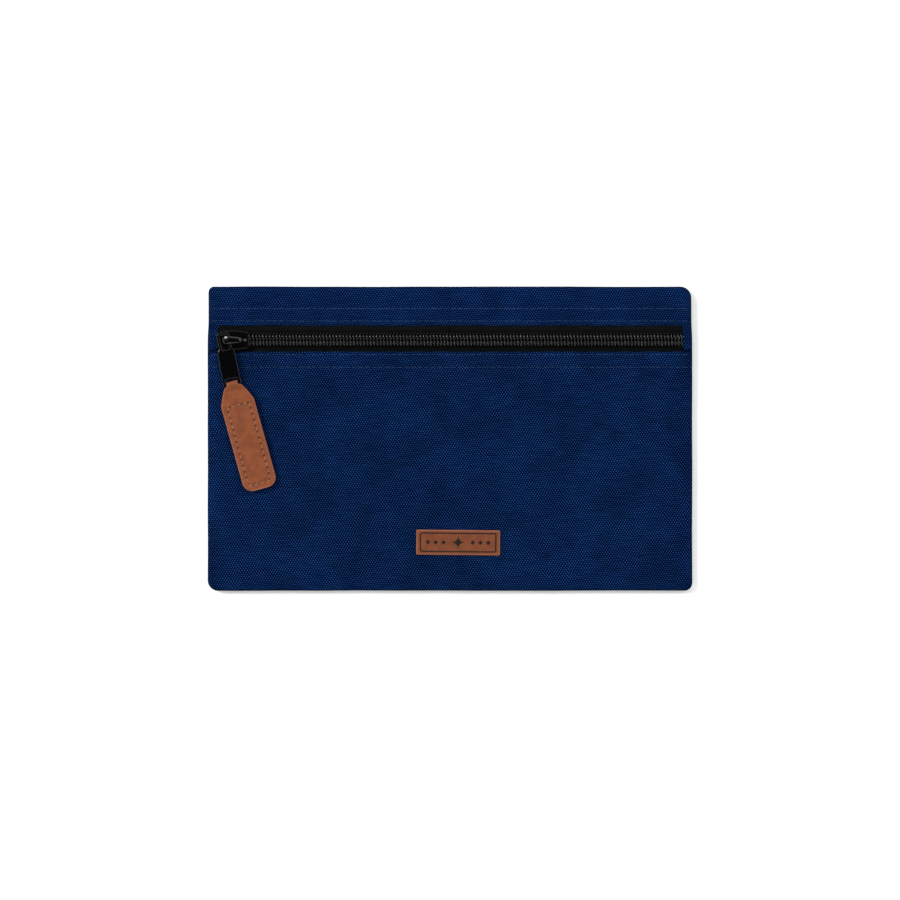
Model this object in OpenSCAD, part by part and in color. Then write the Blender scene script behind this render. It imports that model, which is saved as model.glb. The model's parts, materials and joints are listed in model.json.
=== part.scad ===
// Travel document organizer: a flat zipped fabric pouch with inner pockets.
// It lies on its back: +X runs along the zip, +Y towards the zip edge, and +Z up
// out of the front. The origin is the middle of the underside.

/* [Pouch] */
// Width along the zip
pouch_w = 250; // [230:1:270]
// Height from the bottom edge to the zip edge
pouch_h = 157; // [150:1:175]
// Thickness of the pouch without the slider
pouch_t = 7.6; // [7.6:0.1:10]
// Height of the side seam above the ground
seam_z = 3.2; // [2.6:0.1:4]
// Radius of the corner at the top left
top_left_r = 3; // [1:0.5:10]
// Radius of the corner at the top right
top_right_r = 6; // [1:0.5:10]
// Radius of the corner at the bottom left
bottom_left_r = 5.5; // [1:0.5:10]
// Radius of the corner at the bottom right
bottom_right_r = 4; // [1:0.5:10]
// Thickness of the outer fabric
fabric_t = 0.6; // [0.4:0.1:0.8]
// Thickness of the lining
lining_t = 0.3; // [0.2:0.1:0.4]

/* [Front] */
// Height of the band above the zip
band_h = 20.4; // [16:0.1:26]
// Height of the window that shows the zip
window_h = 13.4; // [12.6:0.1:16]
// Width of the fabric tab over the zip's left end
left_tab_w = 5.6; // [4:0.1:9]
// Width of the fabric tab over the zip's right end
right_tab_w = 5; // [4:0.1:9]

/* [Zip] */
// Distance from the zip edge of the pouch down to the middle of the zip
zip_drop = 28; // [26:0.1:30]
// Width of one tape, from the middle of the zip
tape_w = 15; // [12:0.5:16]
// Thickness of the tape
tape_t = 0.45; // [0.3:0.05:0.6]
// Width of the closed chain
chain_w = 6.2; // [5.8:0.1:6.4]
// Height of the coils above the tape
coil_h = 1.9; // [1.6:0.1:2]

/* [Slider and pull] */
// Length of the slider along the zip
slider_l = 15.8; // [14:0.1:18]
// Width of the slider
slider_w = 9.8; // [9.6:0.1:10.4]
// How far the tab hangs away from straight down, in degrees
tab_tilt = 11; // [0:1:15]
// How far the leather turns further on the tab's bar, in degrees
leather_yaw = 4.5; // [0:0.5:6]
// Width of the leather pull
leather_w = 17.5; // [14:0.5:20]
// Length of the leather pull from the tab's bar
leather_l = 55.5; // [45:0.1:65]

/* [Label] */
// Length of the leather label
label_w = 43.1; // [35:0.1:50]
// Height of the leather label
label_h = 12.9; // [10:0.1:16]

/* [Pockets] */
// Height of the inner slip pocket
slip_pocket_h = 90; // [80:1:100]
// Height of the card pocket
card_pocket_h = 55; // [50:1:60]

/* [Hidden] */
$fn = 48;
eps = 0.01;
big = 400;

// Colours
navy = [0.03, 0.13, 0.29];
dark_lining = [0.05, 0.06, 0.09];
thread_blue = [0.1, 0.22, 0.42];
zip_black = [0.06, 0.06, 0.07];
metal_black = [0.03, 0.03, 0.035];
spring_grey = [0.5, 0.5, 0.52];
tan_leather = [0.55, 0.31, 0.2];
tan_thread = [0.7, 0.5, 0.33];
dark_brown = [0.14, 0.09, 0.07];

// Edges of the pouch and of its panels
side_x = pouch_w / 2;
edge_y = pouch_h / 2;
zip_y = edge_y - zip_drop;
band_y = edge_y - band_h;
hem_y = band_y - window_h;
window_left_x = left_tab_w - side_x;
window_right_x = side_x - right_tab_w;

// Levels, from the ground up
back_z = fabric_t;
pocket_z = back_z + lining_t;
card_z = pocket_z + lining_t;
mouth_tape_z = card_z + 2 * lining_t;
tape_top_z = pouch_t - fabric_t;
tape_z = tape_top_z - tape_t;
front_lining_z = tape_z - lining_t;

// Clearances between pieces that move past each other
gap = 0.3;
slide_gap = 0.25;

// Stitches
stitch_l = 2.5;
stitch_w = 0.4;
stitch_t = 0.12;
stitch_pitch = 3.4;
leather_pitch = 3.2;
hem_rows = [hem_y - 1.5, hem_y - 8];
band_rows = [band_y + 2.4, band_y + 8.8];
stitch_margin = 1.8;

// Seam allowance
binding_w = 6;
binding_t = 1.2;

// Inner pockets, inside the bound seam
pocket_gap = 0.4;
pocket_inset = fabric_t + binding_w + pocket_gap;
pocket_x = side_x - pocket_inset;
pocket_y = pocket_inset - edge_y;
slip_top_y = pocket_y + slip_pocket_h;
card_top_y = pocket_y + card_pocket_h;
mouth_tape_w = 5;

// Zip chain: the two coils leave room for the slider's post
post_w = 1.2;
chain_gap = post_w + 2 * gap;
coil_y = chain_gap / 2;

// Slider
plate_t = 0.9;
slider_x = window_left_x + gap;
slider_waist_x = 8.5;
slider_nose_w = 5.8;
slider_tail_w = 8.2;
post_l = 5;
post_inset = 0.6;
slider_top_z = tape_top_z + coil_h + slide_gap + plate_t;
slider_bottom_z = tape_z - slide_gap - plate_t;

// Crown: an arch along the slider, with the tab's eye round its front leg
crown_l = 10.8;
crown_w = 4.8;
crown_leg_r = 1.1;
crown_roof_h = 2.2;
crown_bar_t = 0.9;
crown_inset = 2;
crown_x = slider_x + crown_inset;
leg_x = crown_x + crown_leg_r;
lock_w = 1.4;
lock_l = 1.4;
lock_h = 0.5;
lock_gap = 0.4;

// Pull tab
tab_t = 1;
tab_top_w = 8.6;
tab_bottom_w = 9.4;
eye_w = 3.6;
eye_top = 2.5;
eye_bottom = 5.2;
eye_wall = 1.4;
tab_shoulder_u = 4.4;
tab_shoulder_h = 1.2;
bar_u = 23.3;
bar_r = 0.6;
slot_w = 6.4;
slot_h = 3.7;
tab_lift = 1.15;
tab_pivot_z = slider_top_z + tab_lift;

// Leather pull: two plies that wrap the tab's bar
ply_t = 1;
loop_r = bar_r + slide_gap;
loop_outer_r = loop_r + ply_t;
loop_w = slot_w - 2 * gap;
neck_w = 9.7;
neck_u = 2.6;
shoulder_u = 9.7;
leather_corner_r = 5;
leather_inset = 2.9;
bar_z = pouch_t + gap + loop_outer_r;
leather_rest_gap = 0.35;
leather_end_z = pouch_t + leather_rest_gap + ply_t;
tab_slope = asin((tab_pivot_z - bar_z) / bar_u);
leather_slope = asin((bar_z - leather_end_z) / leather_l);

// Label
label_x = 4.2;
label_y = -53.4;
label_t = 1;
label_tilt = -0.6;
label_line_w = 0.6;
label_line_t = 0.08;
label_inset = [2.1, 1.6];
star_r = 3.4;
diamond_w = 1.5;
diamond_xs = [7.5, 11.5, 15.5];

// ---- Shared shapes ----

// What a rounded corner of radius r leaves out of a square one.
module corner_cut(r, sx, sy) {
    difference() {
        translate([sx < 0 ? -r - 1 : 0, sy < 0 ? -r - 1 : 0]) square(r + 1);
        circle(r);
    }
}

// The pouch's outline, taken in by an inset, with its own radius at each corner.
module outline(inset = 0) {
    corners = [
        [-1, 1, top_left_r], [1, 1, top_right_r],
        [1, -1, bottom_right_r], [-1, -1, bottom_left_r]
    ];
    difference() {
        square([pouch_w - 2 * inset, pouch_h - 2 * inset], center = true);
        for (c = corners) let (r = max(c[2] - inset, 0.6))
            translate([c[0] * (side_x - inset - r), c[1] * (edge_y - inset - r)])
                corner_cut(r, c[0], c[1]);
    }
}

// A flat layer of the pouch between two levels, cut to a range of y.
module layer(z0, z1, inset = 0, y0 = -big, y1 = big) {
    translate([0, 0, z0]) linear_extrude(z1 - z0) intersection() {
        outline(inset);
        translate([-big, y0]) square([2 * big, y1 - y0]);
    }
}

// Front fabric between two heights on the pouch: a top face with walls down to the seam.
module front_shell(z0, y0, y1) {
    difference() {
        layer(z0, pouch_t, 0, y0, y1);
        layer(z0 - 1, tape_top_z, fabric_t);
    }
}

// Stitches along X from one x to another, centred on y = 0, lying on z = 0.
module stitch_row(x0, x1, pitch = stitch_pitch) {
    count = floor((x1 - x0 - stitch_l) / pitch);
    start = (x0 + x1 - count * pitch - stitch_l) / 2;
    for (i = [0:count]) translate([start + i * pitch, -stitch_w / 2, 0])
        cube([stitch_l, stitch_w, stitch_t]);
}

// A box between two corners.
module box(low, high) {
    translate(low) cube(high - low);
}

// ---- Back of the pouch ----

module back_panel() {
    color(navy) difference() {
        layer(0, seam_z);
        layer(fabric_t, seam_z + 1, fabric_t);
    }
}

module back_lining() {
    color(dark_lining) layer(back_z, pocket_z, fabric_t);
}

module seam_binding() {
    color(zip_black) difference() {
        layer(pocket_z, pocket_z + binding_t, fabric_t);
        layer(pocket_z - 1, pocket_z + binding_t + 1, fabric_t + binding_w);
    }
}

module slip_pocket() {
    color(dark_lining) box([-pocket_x, pocket_y, pocket_z], [pocket_x, slip_top_y, card_z]);
}

module slip_pocket_binding() {
    color(zip_black)
        box([-pocket_x, slip_top_y, pocket_z], [pocket_x, slip_top_y + mouth_tape_w, card_z + lining_t]);
}

module card_pocket() {
    color(dark_lining) box([-pocket_x, pocket_y, card_z], [pocket_x, card_top_y, card_z + lining_t]);
}

module card_pocket_binding() {
    color(zip_black)
        box([-pocket_x, card_top_y, card_z], [pocket_x, card_top_y + mouth_tape_w, mouth_tape_z]);
}

module pocket_stitching() {
    side_row_x = pocket_x - 2;
    color(thread_blue) for (x = [-side_row_x, 0, side_row_x])
        translate([x, 0, card_z + lining_t]) rotate([0, 0, 90])
            stitch_row(pocket_y + 1, card_top_y - 1);
}

// ---- Front of the pouch ----

module front_panel() {
    color(navy) front_shell(seam_z, -big, hem_y);
}

module front_lining() {
    color(dark_lining) layer(front_lining_z, tape_z, fabric_t, -big, hem_y - gap);
}

module front_panel_stitching() {
    color(thread_blue) for (y = hem_rows)
        translate([0, y, pouch_t]) stitch_row(stitch_margin - side_x, side_x - stitch_margin);
}

module end_tab(x0, x1) {
    color(navy) intersection() {
        front_shell(seam_z, hem_y + gap, band_y - gap);
        box([x0, -big, 0], [x1, big, big]);
    }
}

module end_tab_left() {
    end_tab(-big, window_left_x);
}

module end_tab_right() {
    end_tab(window_right_x, big);
}

module on_label() {
    translate([label_x, label_y, pouch_t]) rotate([0, 0, label_tilt]) children();
}

module label_patch() {
    color(tan_leather) on_label() translate([-label_w / 2, -label_h / 2, 0])
        cube([label_w, label_h, label_t]);
}

// A four-pointed star with points of two lengths, as on a compass.
module compass_star(long_r, waist_r) {
    polygon([for (i = [0:7]) let (r = i % 2 == 0 ? long_r : waist_r)
        [r * cos(45 * i), r * sin(45 * i)]]);
}

module label_mark() {
    inner = [label_w - 2 * label_inset[0], label_h - 2 * label_inset[1]];
    color(dark_brown) on_label() translate([0, 0, label_t]) linear_extrude(label_line_t) {
        difference() {
            square(inner, center = true);
            square([inner[0] - 2 * label_line_w, inner[1] - 2 * label_line_w], center = true);
        }
        compass_star(star_r, star_r * 0.3);
        for (side = [-1, 1], x = diamond_xs)
            translate([side * x, 0]) rotate([0, 0, 45]) square(diamond_w, center = true);
    }
}

// ---- Upper lip of the mouth ----

module top_band() {
    color(navy) front_shell(seam_z + gap, band_y, big);
}

module top_band_facing() {
    color(dark_lining) layer(front_lining_z, tape_z, fabric_t, band_y, big);
}

module top_band_stitching() {
    color(thread_blue) for (y = band_rows)
        translate([0, y, pouch_t]) stitch_row(stitch_margin - side_x, side_x - stitch_margin);
}

// ---- Zip ----

// One tape, on the side of the zip that side (1 or -1) gives.
module zip_tape(side) {
    tape_x = side_x - fabric_t;
    color(zip_black) translate([0, zip_y, 0]) mirror([0, side < 0 ? 1 : 0, 0])
        box([-tape_x, coil_y, tape_z], [tape_x, tape_w, tape_top_z]);
}

module zip_coil(side) {
    color(zip_black) translate([0, zip_y, 0]) mirror([0, side < 0 ? 1 : 0, 0])
        box([window_left_x, coil_y, tape_top_z], [window_right_x, chain_w / 2, tape_top_z + coil_h]);
}

module zip_tape_upper() {
    zip_tape(1);
}

module zip_tape_lower() {
    zip_tape(-1);
}

module zip_coil_upper() {
    zip_coil(1);
}

module zip_coil_lower() {
    zip_coil(-1);
}

// ---- Slider ----

// Outline of the slider's plates: broad at the nose, narrower at the tail.
module slider_outline() {
    shoulder_x = (slider_w - slider_nose_w) / 2;
    half = [for (p = [
        [0, slider_nose_w], [shoulder_x, slider_w], [slider_waist_x, slider_w], [slider_l, slider_tail_w]
    ]) [p[0], p[1] / 2]];
    polygon(concat(half, [for (i = [3:-1:0]) [half[i][0], -half[i][1]]]));
}

module slider_body() {
    flange_z = tape_top_z + gap;
    channel_w = chain_w / 2 + gap;
    color(metal_black) translate([slider_x, zip_y, 0]) {
        translate([0, 0, slider_bottom_z]) linear_extrude(plate_t) slider_outline();
        difference() {
            translate([0, 0, flange_z]) linear_extrude(slider_top_z - flange_z) slider_outline();
            box([-1, -channel_w, 0], [slider_l + 1, channel_w, slider_top_z - plate_t]);
        }
        box([post_inset, -post_w / 2, slider_bottom_z + plate_t - eps],
            [post_inset + post_l, post_w / 2, slider_top_z - plate_t + eps]);
    }
}

// A bar along the slider on two round legs; its ends follow the legs.
module slider_crown() {
    leg_xs = [leg_x, crown_x + crown_l - crown_leg_r];
    color(metal_black) translate([0, zip_y, slider_top_z]) {
        for (x = leg_xs) translate([x, 0, 0]) cylinder(h = crown_roof_h + crown_bar_t, r = crown_leg_r);
        translate([0, 0, crown_roof_h]) linear_extrude(crown_bar_t) {
            translate([leg_xs[0], -crown_w / 2]) square([leg_xs[1] - leg_xs[0], crown_w]);
            for (x = leg_xs) translate([x, 0]) circle(crown_w / 2);
        }
    }
}

// Leaf spring that lies along the plate behind the tab's eye.
module slider_lock() {
    color(spring_grey) translate([crown_x + crown_l + lock_gap, zip_y - lock_w / 2, slider_top_z])
        cube([lock_l, lock_w, lock_h]);
}

// ---- Pull ----

// Places the tab: its eye is round the crown's front leg and its length runs along -Y.
module on_tab() {
    translate([leg_x, zip_y, tab_pivot_z]) rotate([tab_slope, 0, tab_tilt]) children();
}

// The tab's outline: a narrow eye that widens at the shoulders.
module tab_outline() {
    top_y = eye_top + eye_wall;
    eye_half_w = eye_w / 2 + eye_wall;
    chamfer = 1.4;
    half = [
        [eye_half_w - chamfer, top_y], [eye_half_w, top_y - chamfer], [eye_half_w, -tab_shoulder_u],
        [tab_top_w / 2, -tab_shoulder_u - tab_shoulder_h], [tab_bottom_w / 2, -bar_u - bar_r]
    ];
    polygon(concat(half, [for (i = [len(half) - 1:-1:0]) [-half[i][0], half[i][1]]]));
}

module pull_tab() {
    color(metal_black) on_tab() {
        translate([0, 0, -tab_t / 2]) linear_extrude(tab_t) difference() {
            tab_outline();
            translate([-eye_w / 2, -eye_bottom]) square([eye_w, eye_bottom + eye_top]);
            translate([-slot_w / 2, -bar_u - bar_r - 1]) square([slot_w, slot_h + 1]);
        }
        translate([0, -bar_u, 0]) rotate([0, 90, 0])
            cylinder(h = slot_w + 2 * eps, r = bar_r, center = true);
    }
}

// Places the leather: the origin is the middle of the tab's bar.
module on_bar() {
    translate([
        leg_x + bar_u * cos(tab_slope) * sin(tab_tilt),
        zip_y - bar_u * cos(tab_slope) * cos(tab_tilt),
        tab_pivot_z - bar_u * sin(tab_slope)
    ]) rotate([0, 0, tab_tilt]) children();
}

module on_leather() {
    on_bar() rotate([leather_slope, 0, leather_yaw]) children();
}

module leather_outline(inset = 0) {
    r = leather_corner_r - inset;
    half = leather_w / 2 - inset;
    end_y = inset - leather_l;
    top_y = -neck_u - (inset > 0 ? shoulder_u - neck_u : 0);
    top_half = inset > 0 ? half : neck_w / 2;
    polygon([
        [-top_half, top_y], [top_half, top_y], [half, -shoulder_u - inset / 2],
        [half, end_y + r], [half - r, end_y], [r - half, end_y],
        [-half, end_y + r], [-half, -shoulder_u - inset / 2]
    ]);
    for (side = [-1, 1]) translate([side * (half - r), end_y + r]) circle(r);
}

module leather_pull() {
    color(tan_leather) {
        on_leather() translate([0, 0, -ply_t]) linear_extrude(2 * ply_t) leather_outline();
        on_bar() difference() {
            union() {
                rotate([0, 90, 0]) cylinder(h = loop_w, r = loop_outer_r, center = true);
                translate([-loop_w / 2, -neck_u - ply_t, -ply_t])
                    cube([loop_w, neck_u + ply_t, 2 * ply_t]);
            }
            rotate([0, 90, 0]) cylinder(h = loop_w + 2, r = loop_r, center = true);
        }
    }
}

module leather_pull_stitching() {
    half = leather_w / 2 - leather_inset;
    top_y = -shoulder_u - 1;
    end_y = leather_inset - leather_l;
    color(tan_thread) on_leather() translate([0, 0, ply_t]) {
        for (y = [top_y, end_y]) translate([0, y, 0]) stitch_row(-half + 1, half - 1, leather_pitch);
        for (x = [-half, half]) translate([x, 0, 0]) rotate([0, 0, 90])
            stitch_row(end_y + 1, top_y - 1, leather_pitch);
    }
}

back_panel();
back_lining();
seam_binding();
slip_pocket();
slip_pocket_binding();
card_pocket();
card_pocket_binding();
pocket_stitching();
front_panel();
front_lining();
front_panel_stitching();
end_tab_left();
end_tab_right();
label_patch();
label_mark();
top_band();
top_band_facing();
top_band_stitching();
zip_tape_upper();
zip_tape_lower();
zip_coil_upper();
zip_coil_lower();
slider_body();
slider_crown();
slider_lock();
pull_tab();
leather_pull();
leather_pull_stitching();
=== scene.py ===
# Travel document organizer: cloth, zip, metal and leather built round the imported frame.
# Lengths are millimetres until add_piece() turns them into metres. +X runs along the
# zip, +Y towards the zip edge, and +Z up out of the front. The pouch lies on its back.

import json
import math

import bpy
import numpy as np
from mathutils import Matrix, Vector, geometry


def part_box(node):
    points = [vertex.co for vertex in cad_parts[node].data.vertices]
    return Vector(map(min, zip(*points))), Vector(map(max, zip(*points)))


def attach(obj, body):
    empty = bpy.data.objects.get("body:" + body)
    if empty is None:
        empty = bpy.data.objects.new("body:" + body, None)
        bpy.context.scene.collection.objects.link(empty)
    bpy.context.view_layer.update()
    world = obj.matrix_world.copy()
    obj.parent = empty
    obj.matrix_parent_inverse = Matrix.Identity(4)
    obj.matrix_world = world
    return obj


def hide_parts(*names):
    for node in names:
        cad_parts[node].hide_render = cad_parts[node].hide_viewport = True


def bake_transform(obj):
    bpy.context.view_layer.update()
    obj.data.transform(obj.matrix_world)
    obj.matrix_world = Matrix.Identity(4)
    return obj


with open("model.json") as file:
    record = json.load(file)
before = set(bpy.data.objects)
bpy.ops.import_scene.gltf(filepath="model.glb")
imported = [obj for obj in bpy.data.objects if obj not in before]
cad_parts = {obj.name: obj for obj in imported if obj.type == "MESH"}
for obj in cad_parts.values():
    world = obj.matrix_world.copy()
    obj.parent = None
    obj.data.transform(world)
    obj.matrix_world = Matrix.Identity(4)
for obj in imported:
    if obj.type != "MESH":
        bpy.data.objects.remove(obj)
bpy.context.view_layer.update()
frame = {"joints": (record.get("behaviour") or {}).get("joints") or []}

MM = 0.001


# ---- Sizes taken from the frame ----

def low(node):
    """Lowest corner of a CAD node in millimetres."""
    return np.array(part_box(node)[0]) / MM


def high(node):
    """Highest corner of a CAD node in millimetres."""
    return np.array(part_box(node)[1]) / MM


def joint_at(name):
    """Point that a joint turns about, in millimetres."""
    joint = next(j for j in frame["joints"] if j["name"] == name)
    return np.array(joint["pos_m"]) / MM


X, Y, Z = 0, 1, 2
SIDE_X = high("front_panel")[X]
EDGE_Y = high("top_band")[Y]
SEAM_Z = low("front_panel")[Z]
TOP_Z = high("front_panel")[Z]
HEM_Y = high("front_panel")[Y]
BAND_Y = low("top_band")[Y]
WINDOW_LEFT = high("end_tab_left")[X]
WINDOW_RIGHT = low("end_tab_right")[X]
ZIP_Y = (low("zip_coil_upper")[Y] + high("zip_coil_lower")[Y]) / 2
TAPE_TOP_Z = low("zip_coil_upper")[Z]
COIL_TOP_Z = high("zip_coil_upper")[Z]
COIL_OUT = high("zip_coil_upper")[Y] - ZIP_Y
TAPE_OUT = high("zip_tape_upper")[Y] - ZIP_Y
TAPE_X = high("zip_tape_upper")[X]
SLIDER_LOW, SLIDER_HIGH = low("slider_body"), high("slider_body")
LABEL_TOP_Z = high("label_patch")[Z]
LABEL_MID = (low("label_patch") + high("label_patch")) / 2
TAB_PIVOT = joint_at("pull_swing")
BAR_MID = joint_at("leather_lift")

# Corner radii, by the signs of x and y.
CORNER_R = {(-1, 1): 3.0, (1, 1): 6.0, (1, -1): 4.0, (-1, -1): 5.5}

# Cloth
PLY_T = 0.28
LINING_T = 0.2
FOLD_R = 0.3
FOLD_BACK = 9.0
ROLL_W = 1.3
ROLL_H = 1.7
SEAM_LIP = 0.3
# Width of the painted shade along the seams.
SEAM_SHADE_W = 0.8
GRID_STEP = 1.7
LINING_INSET = 1.2
LINING_GAP = 0.12
FACING_GAP = 0.55

# How far in from its edges the pouch reaches its full height.
ZIP_END_REACH = 4.6
SIDE_REACH = 15.6
BOTTOM_REACH = 15.0
TOP_REACH = 9.0
BACK_REACH = 9.0

# Distances from an edge of the cloth at which it has points, close together at the seam.
EDGE_STEPS = [0, 0.05, 0.15, 0.35, 0.7, 1.2, 1.9, 2.8, 4.0, 5.5, 7.4, 9.6, 12.0]

# Topstitching
STITCH_L = 2.5
STITCH_PITCH = 3.4
STITCH_R = 0.19
STITCH_MARGIN = 1.8
HEM_ROWS = [HEM_Y - 1.5, HEM_Y - 8]
BAND_ROWS = [BAND_Y + 2.4, BAND_Y + 8.8]

# Label
LABEL_W = 43.1
LABEL_H = 12.9
LABEL_TILT = math.radians(-0.6)


# ---- Small helpers ----

def smoothstep(t):
    t = np.clip(t, 0, 1)
    return t * t * (3 - 2 * t)


def ease_out(t):
    return 1 - (1 - np.clip(t, 0, 1)) ** 2.4


def spaced(start, end, step):
    """Numbers from start to end, both included, about one step apart."""
    count = max(1, round(abs(end - start) / step))
    return [start + (end - start) * i / count for i in range(count + 1)]


def waves(x, y, size, seed):
    """Uneven smooth relief from about -1 to 1, with folds about size apart."""
    rng = np.random.default_rng(seed)
    total = np.zeros(np.broadcast(x, y).shape)
    count = 9
    for _ in range(count):
        angle, phase = rng.uniform(0, 2 * math.pi, 2)
        turn = 2 * math.pi / (size * rng.uniform(0.7, 1.6))
        total = total + np.sin(turn * (x * math.cos(angle) + y * math.sin(angle)) + phase)
    return total / math.sqrt(2 * count)


# ---- Shape of the pouch ----

def side_limits(y):
    """x of the pouch's left and right edges at a height y."""
    limits = []
    for side in (-1, 1):
        end = 1 if y > 0 else -1
        r = CORNER_R[side, end]
        past = min(max(abs(y) - (EDGE_Y - r), 0), r)
        limits.append(side * (SIDE_X - r + math.sqrt(r * r - past * past)))
    return limits


def edge_distance(x, y):
    """Distance from a point inside the pouch to its outline."""
    r = np.where(
        x < 0,
        np.where(y < 0, CORNER_R[-1, -1], CORNER_R[-1, 1]),
        np.where(y < 0, CORNER_R[1, -1], CORNER_R[1, 1]),
    )
    past_x = np.abs(x) - (SIDE_X - r)
    past_y = np.abs(y) - (EDGE_Y - r)
    outside = np.hypot(np.maximum(past_x, 0), np.maximum(past_y, 0))
    return r - outside - np.minimum(np.maximum(past_x, past_y), 0)


def edge_roll(d):
    """Share of the rolled edge's height reached at a distance d from the outline."""
    t = np.clip(d / ROLL_W, 0, 1)
    return np.sqrt(1 - (1 - t) ** 2)


def label_distance(x, y):
    """Distance from the label, 0 under it."""
    out_x = np.maximum(np.abs(x - LABEL_MID[X]) - LABEL_W / 2, 0)
    out_y = np.maximum(np.abs(y - LABEL_MID[Y]) - LABEL_H / 2, 0)
    return np.hypot(out_x, out_y)


def stitch_starts(x0, x1, pitch=STITCH_PITCH, length=STITCH_L):
    """Where each stitch of a row from x0 to x1 starts."""
    count = math.floor((x1 - x0 - length) / pitch)
    start = (x0 + x1 - count * pitch - length) / 2
    return [start + i * pitch for i in range(count + 1)]


ROW_STARTS = stitch_starts(STITCH_MARGIN - SIDE_X, SIDE_X - STITCH_MARGIN)


def stitch_dip(x, y):
    """How far the topstitching pulls the cloth down, deepest at the needle holes."""
    dip = 0
    hole = 0.5 + 0.5 * np.cos(2 * math.pi * (x - ROW_STARTS[0] + 0.45) / STITCH_PITCH)
    for row in HEM_ROWS + BAND_ROWS:
        dip = dip + np.exp(-(((y - row) / 0.6) ** 2)) * (0.1 + 0.12 * hole)
    return dip


def front_sag(x, y):
    """How far the front lies under its full height: soft folds, and puckers at the seams."""
    d = edge_distance(x, y)
    folds = 0.3 * (1 + waves(x, y * 1.3, 58, 3)) + 0.09 * (1 + waves(x, y, 19, 4))
    puckers = 0.16 * np.exp(-((d - 4) / 4) ** 2) * (1 + waves(x, y, 9, 5))
    near_zip = smoothstep((y - (HEM_Y - 30)) / 18)
    clear_of_label = smoothstep((label_distance(x, y) - 0.5) / 7)
    return (folds + puckers) * (1 - near_zip) * clear_of_label


def band_swell(x, y):
    """The hem and the band stand up a little between their stitch rows."""
    swell = 0
    for row0, row1 in (HEM_ROWS, BAND_ROWS):
        middle = (row0 + row1) / 2
        half = abs(row0 - row1) / 2
        swell = swell + np.clip(1 - ((y - middle) / half) ** 2, 0, 1)
    above = smoothstep((y - BAND_ROWS[1]) / 4) * smoothstep((EDGE_Y - y) / 4)
    return 0.14 * swell * (1 + 0.5 * waves(x, y, 12, 6)) + 0.18 * above * waves(x, y, 17, 7)


def front_height(x, y):
    """Height of the front's outer face above the ground."""
    below = smoothstep((HEM_Y - y) / 34)
    reach = ZIP_END_REACH + (SIDE_REACH - ZIP_END_REACH) * below
    full = ease_out((SIDE_X - np.abs(x)) / reach)
    full = full * ease_out((y + EDGE_Y) / BOTTOM_REACH) * ease_out((EDGE_Y - y) / TOP_REACH)
    start = SEAM_Z + SEAM_LIP
    rise = TOP_Z - start - ROLL_H
    height = start + ROLL_H * edge_roll(edge_distance(x, y)) + rise * full
    return height + (band_swell(x, y) - front_sag(x, y)) * full - stitch_dip(x, y)


def back_height(x, y):
    """Height of the back's outer face: 0 where the pouch lies on the ground."""
    full = ease_out((SIDE_X - np.abs(x)) / BACK_REACH)
    full = full * ease_out((y + EDGE_Y) / BACK_REACH) * ease_out((EDGE_Y - y) / BACK_REACH)
    start = SEAM_Z - SEAM_LIP
    roll = ROLL_H * 0.75
    folds = 0.05 * (1 + waves(x, y, 40, 11))
    puckers = 0.12 * (1 + waves(x, y, 11, 12)) * (1 - full)
    lift = 0.05 + folds + puckers
    return start - roll * edge_roll(edge_distance(x, y)) - (start - roll) * full + lift * full


def wander(points):
    """Draws the outline in by fractions of a millimetre, as sewn cloth does."""
    zone = 16
    x, y = points[:, X].copy(), points[:, Y].copy()
    near_side = smoothstep((np.abs(x) - (SIDE_X - zone)) / zone)
    near_end = smoothstep((np.abs(y) - (EDGE_Y - zone)) / zone)
    drawn_side = 0.09 * (1 + waves(y, np.sign(x) * 40, 34, 21))
    drawn_side = drawn_side + 0.4 * smoothstep((y - HEM_Y - 6) / 10)
    drawn_end = 0.08 * (1 + waves(x, np.sign(y) * 40, 48, 22))
    points[:, X] = x - np.sign(x) * near_side * drawn_side
    points[:, Y] = y - np.sign(y) * near_end * drawn_end
    return points


# ---- Mesh building ----

class Shape:
    """Points and faces gathered for one piece."""

    def __init__(self):
        self.points = []
        self.faces = []

    def add(self, points, faces):
        """Adds points, and faces that count from the first of them."""
        first = len(self.points)
        self.points.extend(points)
        self.faces.extend(tuple(i + first for i in face) for face in faces)


def add_piece(name, points, faces, attributes=None):
    """Makes a smooth mesh object, in metres, with named point attributes."""
    mesh = bpy.data.meshes.new(name)
    scaled = np.array(points, float) * MM
    mesh.from_pydata(scaled.tolist(), [], faces)
    for label, values in (attributes or {}).items():
        values = np.array(values, np.float32)
        is_vector = values.ndim == 2
        kind = "FLOAT_VECTOR" if is_vector else "FLOAT"
        attribute = mesh.attributes.new(label, kind, "POINT")
        attribute.data.foreach_set("vector" if is_vector else "value", values.ravel())
    mesh.update()
    mesh.shade_smooth()
    piece = bpy.data.objects.new(name, mesh)
    bpy.context.scene.collection.objects.link(piece)
    return piece


def apply_modifiers(piece):
    """Keeps what the piece's modifiers made as its mesh."""
    bpy.context.view_layer.update()
    graph = bpy.context.evaluated_depsgraph_get()
    made = bpy.data.meshes.new_from_object(
        piece.evaluated_get(graph), preserve_all_data_layers=True, depsgraph=graph
    )
    piece.modifiers.clear()
    piece.data = made


def thicken(piece, thickness):
    """Gives a sheet its thickness, behind the face that is seen."""
    solidify = piece.modifiers.new("thickness", "SOLIDIFY")
    solidify.thickness = thickness * MM
    solidify.offset = -1
    apply_modifiers(piece)


def even_normals(piece):
    """Shades flat faces flat and the rounded rims between them smooth."""
    weighted = piece.modifiers.new("normals", "WEIGHTED_NORMAL")
    weighted.weight = 90
    apply_modifiers(piece)


def grid_faces(rows, columns, flip=False):
    """Faces of a grid of points kept row by row."""
    faces = []
    for r in range(rows - 1):
        for c in range(columns - 1):
            a = r * columns + c
            face = (a, a + 1, a + 1 + columns, a + columns)
            faces.append(face[::-1] if flip else face)
    return faces


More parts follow.
